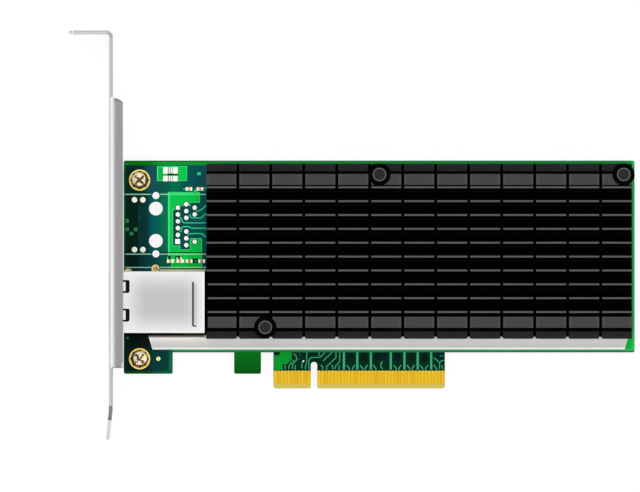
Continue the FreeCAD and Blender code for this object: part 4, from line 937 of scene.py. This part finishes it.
def line_finish(c):
    """Pale ink that takes the colour of the copper plane where it crosses it."""
    f = Finish("line_ink", c.pale, 0.5, specular=FAINT)
    x, y, _ = f.axes()
    half_way = 47.41
    shade = f.paint(
        c.pale,
        (x.within(-43.67, -33.86, 0.3) * y.above(half_way, 1), tone(96, 244, 150)),
        (x.within(-43.67, -33.5, 0.3) * y.below(half_way, 1), tone(150, 255, 180)))
    return speckled(f, shade, f.noise(1.2, 2, stretch=(0.3, 1, 1)), 0.08, 0.44, 0.1)


def eyelet_finish(name, light, dark, share):
    """Gold plating with a swirl of another shade."""
    f = Finish(name, light, 0.3, metallic=0.4, specular=0.1)
    swirl = f.noise(0.8, 2)
    return f.coat(f.mix(swirl.above(share, 0.12), light, dark), swirl, 0.24, 0.2)


# ---------------------------------------------------------------- operators on the CAD solids
class CARD_OT_board(bpy.types.Operator):
    """Finish the circuit board with solder mask and bare cut sides"""
    bl_idname = "card.board"
    bl_label = "Circuit board"

    def execute(self, context):
        dress("circuit_board", board_finish(context.scene.card_colours))
        return {"FINISHED"}


class CARD_OT_contacts(bpy.types.Operator):
    """Plate the edge contacts on both faces"""
    bl_idname = "card.contacts"
    bl_label = "Edge contacts"

    def execute(self, context):
        finish = gold_finish("contact_gold", context.scene.card_colours)
        dress("edge_contacts_front", finish)
        dress("edge_contacts_back", finish)
        return {"FINISHED"}


class CARD_OT_bracket(bpy.types.Operator):
    """Finish the bracket with its screws and washers"""
    bl_idname = "card.bracket"
    bl_label = "Bracket and screws"

    def execute(self, context):
        c = context.scene.card_colours
        dress("io_bracket", bracket_finish(c))
        dress("bracket_screws", zinc_finish("screw_zinc", c, 0.3))
        dress("lock_washers", zinc_finish("washer_zinc", c, 0.5))
        return {"FINISHED"}


class CARD_OT_jack(bpy.types.Operator):
    """Finish the network jack, inside and out"""
    bl_idname = "card.jack"
    bl_label = "Network jack"

    def execute(self, context):
        c = context.scene.card_colours
        dress("jack_shield", shield_finish(c))
        dress("jack_housing", moulded_finish("jack_plastic", [0.006] * 3))
        dress("jack_magnetics", moulded_finish("potting", (0.012, 0.012, 0.013), 0.4, 1.2))
        dress("jack_contacts", metal_finish("wire_gold", c.gold, 0.25, 0.3))
        dress("jack_pins", metal_finish("pin_tin", c.solder, 0.3, 0.3))
        for side, glow, shade in (("left", "green", (0.50, 0.75, 0.52)),
                                  ("right", "amber", (0.80, 0.62, 0.30))):
            dress(side + "_status_light", moulded_finish("light_" + glow, shade, 0.2, 0.6, 0.4))
        return {"FINISHED"}


class CARD_OT_processor(bpy.types.Operator):
    """Finish the processor package under the heatsink"""
    bl_idname = "card.processor"
    bl_label = "Processor"

    def execute(self, context):
        dress("controller_substrate", mask_finish("package_laminate", (0.01, 0.12, 0.05)))
        dress("controller_lid", metal_finish("lid_nickel", (0.55, 0.55, 0.56), 0.4, 0.8))
        dress("thermal_pad", moulded_finish("gap_filler", (0.24, 0.26, 0.30), 0.8, 0.5))
        return {"FINISHED"}


class CARD_OT_cooling(bpy.types.Operator):
    """Finish the heatsink, its push pins with their springs, and the stiffener bar"""
    bl_idname = "card.cooling"
    bl_label = "Heatsink, pins and bar"

    def execute(self, context):
        c = context.scene.card_colours
        dress("heatsink", anodised_finish(c))
        dress("push_pins", nylon_finish(c))
        dress("push_pin_springs", metal_finish("spring_steel", (0.45, 0.45, 0.46), 0.3, 0.3))
        dress("stiffener_bar", bar_finish(c))
        return {"FINISHED"}


class CARD_OT_components(bpy.types.Operator):
    """Finish the small parts that are soldered to the board"""
    bl_idname = "card.components"
    bl_label = "Small parts"

    def execute(self, context):
        chip = context.scene.card_colours.chip
        dress("flash_memory", moulded_finish("memory_plastic", (0.012, 0.012, 0.013), 0.5, 0.2))
        dress("reference_crystal", metal_finish("crystal_lid", (0.6, 0.6, 0.58), 0.3, 0.4))
        dress("power_inductors", chip_finish("pressed_ferrite", (0.05, 0.05, 0.053)))
        dress("voltage_regulators", moulded_finish("regulator_plastic", (0.01, 0.01, 0.011)))
        dress("bulk_capacitors", moulded_finish("capacitor_plastic", (0.016, 0.015, 0.015)))
        dress("chip_resistors", chip_finish("resistor_body", chip, tone(250, 206, 70),
                                            tone(222, 150, 84)))
        dress("chip_capacitors", chip_finish("capacitor_body", [0.5 * v for v in chip]))
        dress("decoupling_capacitors", chip_finish("decoupler_body", [0.45 * v for v in chip]))
        return {"FINISHED"}


# ---------------------------------------------------------------- board artwork
# All places are in millimetres on the board's face.
PORT_PLANE = (
    (-43.67, 58.78), (-36.08, 58.78), (-35.42, 59.86), (-34.94, 58.78), (-34.16, 58.78),
    (-34.16, 55.61), (-37.0, 55.61), (-37.0, 54.59), (-39.9, 54.59), (-39.9, 53.45),
    (-42.18, 53.45), (-42.18, 42.75), (-40.02, 42.75), (-40.02, 41.61), (-37.15, 41.61),
    (-37.15, 44.93), (-33.53, 44.93), (-33.53, 36.11), (-42.72, 36.11), (-42.72, 38.62),
    (-42.87, 38.62), (-42.87, 39.69), (-43.67, 39.69))
CHIP_PLANE = ((-46.96, 62.07), (-37.96, 62.07), (-37.96, 66.5), (-46.96, 66.5))
KEY_PLANE = (
    (-11.97, 5.59), (-9.39, 5.59), (-9.39, 7.27), (-8.14, 7.27), (-6.64, 8.64), (-6.64, 10.86),
    (-11.97, 10.86))
BOARD_DOTS = ((-55.88, 50.13), (-55.88, 47.62), (-53.37, 47.62), (-54.62, 46.34))

PORT_TRACES = (
    ((-35.18, 52.92), (-34.04, 53.4), (-33.65, 53.4), (-32.31, 54.83)),
    ((-37.18, 52.05), (-36.91, 51.24), (-36.49, 51.03), (-33.74, 51.03), (-32.31, 52.44)),
    ((-40.62, 51.72), (-39.61, 50.76), (-39.37, 49.93), (-38.92, 49.54), (-32.31, 49.54)),
    ((-40.5, 50.31), (-39.78, 50.88)),
    ((-40.14, 46.75), (-39.61, 47.35), (-39.52, 48.19), (-39.13, 48.4), (-37.3, 48.4),
     (-36.7, 47.95), (-32.31, 47.95)),
    ((-37.81, 45.74), (-37.27, 46.34), (-33.53, 46.34), (-32.31, 45.26)),
    ((-39.19, 59.62), (-38.41, 59.62)), ((-32.93, 60.16), (-32.37, 59.59)))
EDGE_TRACES = (
    ((-6.22, 10.38), (-5.56, 10.02), (-5.2, 9.24), (-5.26, 8.53), (-6.4, 7.15), (-6.46, 5.83)),
    ((-5.95, 8.53), (-7.48, 6.91), (-7.6, 5.83)), ((-8.64, 7.03), (-8.64, 5.83)),
    ((-5.62, 6.97), (-5.62, 5.65)), ((-3.17, 8.23), (-3.62, 7.45), (-3.68, 6.01)),
    ((-2.18, 10.86), (-2.18, 7.93), (-2.51, 6.73), (-2.57, 5.83)),
    ((-1.56, 5.83), (-1.56, 8.41), (-0.78, 9.3), (1.79, 9.3), (3.35, 10.86)),
    ((1.5, 10.86), (1.5, 9.78)), ((5.38, 10.8), (2.69, 8.23)),
    ((2.09, 7.03), (2.57, 6.43), (2.57, 5.71)),
    ((6.58, 10.86), (6.58, 9.24), (3.77, 6.55), (3.77, 5.65)),
    ((7.66, 10.86), (7.72, 8.05), (6.46, 6.73), (6.34, 5.83)),
    ((5.26, 7.03), (5.62, 6.55), (5.62, 5.71)), ((7.48, 6.97), (7.48, 5.65)),
    ((20.46, 8.11), (19.98, 7.33), (20.04, 6.37), (20.58, 5.83)),
    ((35.9, 9.24), (37.57, 7.69), (37.57, 5.83)), ((37.57, 7.69), (38.23, 8.35), (38.89, 8.41)),
    ((38.17, 7.03), (38.59, 5.89)))
LANE_PLACES = (8.94, 12.95, 17.02, 22.97, 27.04, 31.02, 35.06)
HOOK_STARTS = (9.78, 13.76, 17.71, 23.81, 27.82, 31.71, 35.84)
HOOK_ENDS = (12.23, 16.03, 26.08, 30.09, 34.1)
START_BEND = ((0, 7.0), (0.8, 6.0), (0.8, 5.6))        # from a hook's place, then along Y
END_BEND = ((0, 7.0), (-0.7, 6.1), (-0.75, 5.6))
EDGE_WIDTH, LANE_WIDTH, HOOK_WIDTH = 0.8, 1.9, 0.9      # of a signal trace
GUIDE_LINES = (                    # left, right, Y
    (-56.6, -48.7, 58.09), (-46.01, -32.34, 58.09), (-56.6, -48.64, 40.2), (-46.13, -32.34, 40.2),
    (-56.6, -48.7, 36.22), (-46.07, -32.34, 36.22))
SHADE_LINES = (
    (-46.13, -32.34, 40.62), (-56.6, -48.64, 39.78), (-46.07, -32.34, 35.81),
    (-56.6, -49.06, 58.54), (-56.6, -49.06, 57.67))
WARM_STRIP = (-46.07, -32.34, 35.21, 35.63)
LEADS_WITHIN = 12                  # of the jack's mouth: leads of its lights
JOINT_HEIGHT = 0.7
JOINT_TIP = 0.35

RAISED, MIDDLE, FLAT, THIN = 0.08, 0.06, 0.05, 0.04    # heights of pads
CHIP_ROWS = ((64.4, 66.17), (62.01, 63.6))
ROW_PADS = (                       # left, right, finish
    (-45.11, -43.79, 0), (-42.09, -40.8, 0), (-43.73, -43.31, 1), (-43.31, -43.08, 0),
    (-43.08, -42.69, 1), (-42.69, -42.39, 0))
MIDDLE_PADS = (                    # left, right, bottom, top, finish, height
    (-43.85, -40.68, 63.72, 64.28, 2, FLAT), (-45.11, -43.85, 64.25, 64.46, 3, MIDDLE),
    (-42.12, -40.8, 64.25, 64.46, 3, MIDDLE))
PADS = (
    (-42.24, -41.85, 37.72, 38.68, 0, RAISED), (-39.19, -38.86, 37.72, 38.62, 0, RAISED),
    (-41.58, -40.02, 38.74, 39.64, 2, FLAT), (-43.52, -42.78, 38.74, 39.75, 2, FLAT),
    (-36.61, -34.7, 37.48, 38.92, 2, FLAT), (-35.66, -35.18, 38.02, 38.32, 5, RAISED),
    (-41.07, -40.77, 38.74, 39.28, 0, RAISED), (-39.99, -39.58, 38.68, 39.19, 0, RAISED),
    (-43.97, -43.64, 38.56, 39.4, 5, RAISED), (-34.91, -33.86, 63.8, 64.7, 5, RAISED),
    (-41.52, -40.08, 43.25, 44.72, 0, RAISED), (-56.54, -56.33, 66.98, 67.16, 5, THIN),
    (-55.91, -55.67, 66.98, 67.16, 5, THIN), (37.57, 38.83, 9.57, 9.87, 6, THIN))
SPOTS = (                          # X, Y, radius, finish
    (-52.17, 51.06, 0.24, 6), (-4.22, 10.08, 0.22, 6), (-4.52, 8.85, 0.22, 6),
    # The last spot is a black disc of painted shadow over the ground hole by the jack.
    (-3.17, 8.17, 0.24, 0), (-55.8, 15.1, 0.42, 6), (-47.3, 17.25, 1.25, 7))
EYELETS = (                        # X, Y, radius, finish, height
    (-47.44, 35.87, 1.2, 0, 0.12), (-47.38, 35.81, 0.72, 1, 0.14), (-46.55, 8.91, 0.62, 2, 0.1),
    (-46.55, 8.91, 0.2, 3, 0.12))
COPPER_TONES = (("dot_mask", 56, 160, 96), ("hollow_mask", 10, 84, 50), ("bare_mask", 0, 26, 18))
KEY_ARC = (-11.1, 10.86, 1.0, SMALL_ROUND, 180, 180)   # X, Y, radius, sides, start, turn
EYELET_ARC = (-55.58, 34.58, 1.3, 16, 30, 150)
STEP = 0.01                        # one layer of the artwork above another
RING_SIDES = 20
JOINT_SIDES = 14


class CARD_OT_planes(bpy.types.Operator):
    """Lay the outer copper planes of the board"""
    bl_idname = "card.planes"
    bl_label = "Copper planes"

    def execute(self, context):
        c, s = context.scene.card_colours, context.scene.card_sizes
        high, rim = s.plane_height / MM, s.plane_rim / MM
        bright = [plane_finish(c), mask_finish("plane_rim_mask", c.plane_rim)]
        draft = bmesh.new()
        for outline in (PORT_PLANE, CHIP_PLANE):
            rimmed(draft, outline, high, rim)
        new_piece("copper_planes", draft, bright)
        deep = [mask_finish("deep_plane_mask", c.plane_deep)]
        deep += [mask_finish(name, tone(*display)) for name, *display in COPPER_TONES]
        draft = bmesh.new()
        prism(draft, KEY_PLANE, high)
        for x, y in BOARD_DOTS:
            for half, level, finish in ((0.5, high, 1), (0.2, high + STEP, 2)):
                prism(draft, rectangle(x - half, x + half, y - half, y + half), level, finish)
        prism(draft, round_outline(*KEY_ARC), high + STEP, 3)
        new_piece("deep_planes", draft, deep)
        return {"FINISHED"}


class CARD_OT_traces(bpy.types.Operator):
    """Lay the signal traces at the spare port and above the contacts"""
    bl_idname = "card.traces"
    bl_label = "Signal traces"

    def execute(self, context):
        c, s = context.scene.card_colours, context.scene.card_sizes
        high, width = s.trace_height / MM, s.trace_width / MM
        runs = [(run, 1, 0) for run in PORT_TRACES]
        runs += [(run, EDGE_WIDTH, 1) for run in EDGE_TRACES]
        runs += [(((x, LONG_EDGE + 0.1), (x, 5.7)), LANE_WIDTH, 1) for x in LANE_PLACES]
        for places, bend in ((HOOK_STARTS, START_BEND), (HOOK_ENDS, END_BEND)):
            runs += [([(x + across, y) for across, y in bend], HOOK_WIDTH, 1) for x in places]
        draft = bmesh.new()
        for run, share, finish in runs:
            prism(draft, ribbon_outline(run, width * share), high, finish)
        looks = [mask_finish("trace_mask", c.trace), mask_finish("edge_trace_mask", c.trace_edge)]
        new_piece("signal_traces", draft, looks)
        return {"FINISHED"}


class CARD_OT_lines(bpy.types.Operator):
    """Print the pale guide lines round the ports"""
    bl_idname = "card.lines"
    bl_label = "Printed lines"

    def execute(self, context):
        c, s = context.scene.card_colours, context.scene.card_sizes
        width, high = s.line_width / MM, s.line_height / MM
        draft = bmesh.new()
        for finish, lines in enumerate((GUIDE_LINES, SHADE_LINES)):
            for left, right, y in lines:
                outline = ribbon_outline(((left, y), (right, y)), width * (1 - 0.2 * finish))
                prism(draft, outline, high, finish)
        prism(draft, rectangle(*WARM_STRIP), high, 2)
        new_piece("guide_lines", draft,
                  [line_finish(c), mask_finish("line_shade", tone(0, 56, 34)),
                   mask_finish("warm_copper", tone(226, 224, 176))])
        return {"FINISHED"}


class CARD_OT_rings(bpy.types.Operator):
    """Plate a ring round every pin hole on the board's free faces"""
    bl_idname = "card.rings"
    bl_label = "Plated rings"

    def execute(self, context):
        c, s = context.scene.card_colours, context.scene.card_sizes
        tree = ring_tree()
        paste = solder_finish("ring_paste", c.paste)
        gap = mask_finish("ring_gap", tone(0, 40, 34))
        pins = [(low + high) / 2 for low, high in solids_of("jack_pins")]
        lead_end = JACK_LOW.x + LEADS_WITHIN
        half = s.ring_height / MM / 2
        for name, group, radius, finish, around in (
                ("pin_rings", [pin for pin in pins if pin.x >= lead_end], s.ring_radius,
                 solder_finish("ring_tin", c.solder), 0.2 * MM),
                ("lead_rings", [pin for pin in pins if pin.x < lead_end], s.ring_wide,
                 solder_finish("lead_tin", tone(255, 254, 238)), 0.35 * MM)):
            for part, outer, lift, look in (("", radius, 0, finish),
                                            ("_fill", s.fill_radius, STEP, paste),
                                            ("_gap", radius + around, -2 * STEP, gap)):
                places = [(pin.x, pin.y + PORT_PITCH, z) for pin in group
                          for z in (BOARD_FACE + half + lift, BOARD_BACK - half - lift)]
                inputs = {"Radius": outer, "Width": outer - STEP * MM, "Height": s.ring_height,
                          "Sides": RING_SIDES}
                repeated(name + part, tree, places, inputs, look)
        return {"FINISHED"}


class CARD_OT_caps(bpy.types.Operator):
    """Tin both ends of every small chip"""
    bl_idname = "card.caps"
    bl_label = "Chip ends"

    def execute(self, context):
        c, s = context.scene.card_colours, context.scene.card_sizes
        tree = box_tree()
        finish = solder_finish("cap_tin", c.solder)
        proud = 0.02
        for node, share in (("chip_resistors", 1.0), ("chip_capacitors", 1.0),
                            ("decoupling_capacitors", 0.6)):
            chips = solids_of(node)
            cap = s.cap_length / MM * share
            places = []
            for low, high in chips:
                middle = (low + high) / 2
                places.append((low.x + cap / 2 - proud, middle.y, middle.z))
                places.append((high.x - cap / 2 + proud, middle.y, middle.z))
            span = chips[0][1] - chips[0][0]
            block = Vector((cap, span.y + 2 * proud, span.z + proud / 5)) * MM
            repeated(node + "_ends", tree, places, {"Size": block}, finish)
        return {"FINISHED"}


class CARD_OT_joints(bpy.types.Operator):
    """Solder the jack's pins on the back of the board"""
    bl_idname = "card.joints"
    bl_label = "Solder joints"

    def execute(self, context):
        c, s = context.scene.card_colours, context.scene.card_sizes
        finish = metal_finish("joint_solder", [0.9 * v for v in c.solder], 0.28, 0.5)
        places = [((low.x + high.x) / 2, (low.y + high.y) / 2, BOARD_BACK - JOINT_HEIGHT)
                  for low, high in solids_of("jack_pins")]
        inputs = {"Foot": JOINT_TIP * MM, "Tip": s.joint_radius, "Height": JOINT_HEIGHT * MM,
                  "Sides": JOINT_SIDES}
        repeated("solder_joints", cone_tree(), places, inputs, finish)
        return {"FINISHED"}


class CARD_OT_pads(bpy.types.Operator):
    """Lay the bare pads, eyelets and unfitted chip places"""
    bl_idname = "card.pads"
    bl_label = "Pads and eyelets"

    def execute(self, context):
        c = context.scene.card_colours
        looks = [solder_finish("pad_tin", c.solder), chip_finish("pad_paste", tone(178, 182, 170)),
                 mask_finish("pad_gap", tone(0, 62, 40)),
                 solder_finish("pad_yellow", tone(240, 228, 180)),
                 solder_finish("pad_orange", tone(222, 160, 92)),
                 mask_finish("pad_teal", tone(70, 220, 160)),
                 mask_finish("pad_moss", tone(24, 120, 84)),
                 # Near-black for the painted shadow disc.
                 mask_finish("pad_painted_shadow", [0.001] * 3)]
        draft = bmesh.new()
        rows = [(left, right, *row, finish, RAISED) for row in CHIP_ROWS
                for left, right, finish in ROW_PADS]
        for *sides, finish, level in (*MIDDLE_PADS, *rows, *PADS):
            prism(draft, rectangle(*sides), level, finish)
        for x, y, radius, finish in SPOTS:
            prism(draft, round_outline(x, y, radius, SMALL_ROUND), FLAT, finish)
        new_piece("bare_pads", draft, looks)

        rims = [eyelet_finish("eyelet_gold", c.eyelet, tone(120, 88, 24), 0.58),
                eyelet_finish("eyelet_core", tone(176, 142, 84), tone(240, 222, 180), 0.5),
                solder_finish("ring_yellow", tone(244, 240, 150)),
                mask_finish("ring_olive", tone(196, 180, 60))]
        draft = bmesh.new()
        for x, y, radius, finish, level in EYELETS:
            prism(draft, round_outline(x, y, radius, 2 * SMALL_ROUND), level, finish)
        prism(draft, round_outline(*EYELET_ARC), 0.1)
        new_piece("eyelets", draft, rims)
        return {"FINISHED"}


# ---------------------------------------------------------------- stage
LAMPS = (                          # name, place in metres, share of the power
    ("key_lamp", (-1.2, 1.1, 1.3), 1), ("fill_lamp", (1.3, -1.0, 1.3), 0.6))
FLOOR_HALF = 4.0                   # in metres


class CARD_OT_stage(bpy.types.Operator):
    """Set the floor, the sky, the lamps and the camera"""
    bl_idname = "card.stage"
    bl_label = "Stage"

    def execute(self, context):
        settings = context.scene.card_stage
        self.lay_floor(settings)
        self.paint_sky(context.scene, settings)
        for name, place, share in LAMPS:
            self.hang_lamp(name, place, settings.lamp_power * share)
        camera = bpy.data.cameras.new("camera")
        camera.lens = settings.lens
        camera.sensor_width = 36
        camera.clip_end = 100
        eye = added("camera", camera)
        eye.location = (settings.camera_x, settings.camera_y, settings.camera_z)
        context.scene.camera = eye
        context.scene.view_settings.view_transform = "Standard"
        return {"FINISHED"}

    def lay_floor(self, settings):
        outline = rectangle(-FLOOR_HALF, FLOOR_HALF, -FLOOR_HALF, FLOOR_HALF)
        mesh = bpy.data.meshes.new("floor")
        mesh.from_pydata([(x, y, CAD_BOUNDS[0][2]) for x, y in outline], [], [(0, 1, 2, 3)])
        mesh.materials.append(self.floor_finish(settings))
        floor = added("floor", mesh)

    def floor_finish(self, settings):
        """Pale matt floor; seen straight or in a reflection it adds a glow of its own."""
        material = bpy.data.materials.new("pale_floor")
        material.use_nodes = True
        tree = material.node_tree
        tree.nodes.clear()
        matt = tree_node(tree, "ShaderNodeBsdfDiffuse", {"Color": (0.82, 0.82, 0.82, 1)})
        dim = tree_node(tree, "ShaderNodeBsdfDiffuse", {"Color": (*[settings.floor_lit] * 3, 1)})
        glow = tree_node(tree, "ShaderNodeEmission", {"Strength": settings.floor_glow})
        seen = tree_node(tree, "ShaderNodeAddShader", {0: dim, 1: glow})
        choose_by_ray(tree, matt, seen, "ShaderNodeOutputMaterial")
        return material

    def paint_sky(self, scene, settings):
        """White where it is looked at, and a soft gradient where it lights the card."""
        world = bpy.data.worlds.new("soft_sky")
        scene.world = world
        world.use_nodes = True
        world.cycles.sampling_method = "NONE"      # gloss meets only the white it is shown
        tree = world.node_tree
        tree.nodes.clear()
        white = (1, 1, 1, 1)
        direction = tree_node(tree, "ShaderNodeTexCoord", {})
        split = tree_node(tree, "ShaderNodeSeparateXYZ", {0: direction.outputs["Generated"]})
        overhead = tree_node(tree, "ShaderNodeMath", {0: split.outputs[2], 1: 2},
                             {"operation": "POWER", "use_clamp": True})
        height = tree_node(tree, "ShaderNodeMapRange", {
            0: overhead, "To Min": settings.horizon, "To Max": settings.zenith})
        lighting = tree_node(tree, "ShaderNodeBackground",
                             {"Color": white, "Strength": height})
        shown = tree_node(tree, "ShaderNodeBackground", {"Color": white})
        choose_by_ray(tree, lighting, shown, "ShaderNodeOutputWorld")

    def hang_lamp(self, name, place, power):
        lamp = bpy.data.lights.new(name, "AREA")
        lamp.energy = power
        lamp.size = 1.0
        holder = added(name, lamp)
        holder.location = place
        holder.rotation_euler = (-Vector(place)).to_track_quat("-Z", "Y").to_euler()


def choose_by_ray(tree, unseen, seen, output):
    """Uses the second shader for a ray from the camera, or one that gloss or glass sends on."""
    rays = tree_node(tree, "ShaderNodeLightPath", {})
    looked_at = rays.outputs["Is Camera Ray"]
    for other in ("Is Glossy Ray", "Is Transmission Ray"):
        looked_at = tree_node(tree, "ShaderNodeMath", {0: looked_at, 1: rays.outputs[other]},
                              {"operation": "MAXIMUM"}).outputs[0]
    choice = tree_node(tree, "ShaderNodeMixShader",
                       {0: looked_at, 1: unseen, 2: seen})
    tree_node(tree, output, {"Surface": choice})


# ---------------------------------------------------------------- add-on
class CARD_PT_panel(bpy.types.Panel):
    """Lists what dresses the card"""
    bl_idname = "CARD_PT_panel"
    bl_label = "Network Card"
    bl_space_type = "VIEW_3D"
    bl_region_type = "UI"
    bl_category = "Network Card"

    def draw(self, context):
        for operator in OPERATORS:
            self.layout.operator(operator.bl_idname)


OPERATORS = (CARD_OT_board, CARD_OT_contacts, CARD_OT_bracket, CARD_OT_jack, CARD_OT_processor,
             CARD_OT_cooling, CARD_OT_components, CARD_OT_planes, CARD_OT_traces, CARD_OT_lines,
             CARD_OT_rings, CARD_OT_caps, CARD_OT_joints, CARD_OT_pads, CARD_OT_stage)
GROUPS = (CardColours, ArtworkSizes, StageSettings)


def register():
    for item in GROUPS + OPERATORS + (CARD_PT_panel,):
        bpy.utils.register_class(item)
    bpy.types.Scene.card_colours = PointerProperty(type=CardColours)
    bpy.types.Scene.card_sizes = PointerProperty(type=ArtworkSizes)
    bpy.types.Scene.card_stage = PointerProperty(type=StageSettings)


def unregister():
    del bpy.types.Scene.card_stage
    del bpy.types.Scene.card_sizes
    del bpy.types.Scene.card_colours
    for item in reversed(GROUPS + OPERATORS + (CARD_PT_panel,)):
        bpy.utils.unregister_class(item)


def main():
    register()
    for operator in OPERATORS:
        getattr(bpy.ops.card, operator.bl_idname.split(".")[1])()


if __name__ == "__main__":
    main()
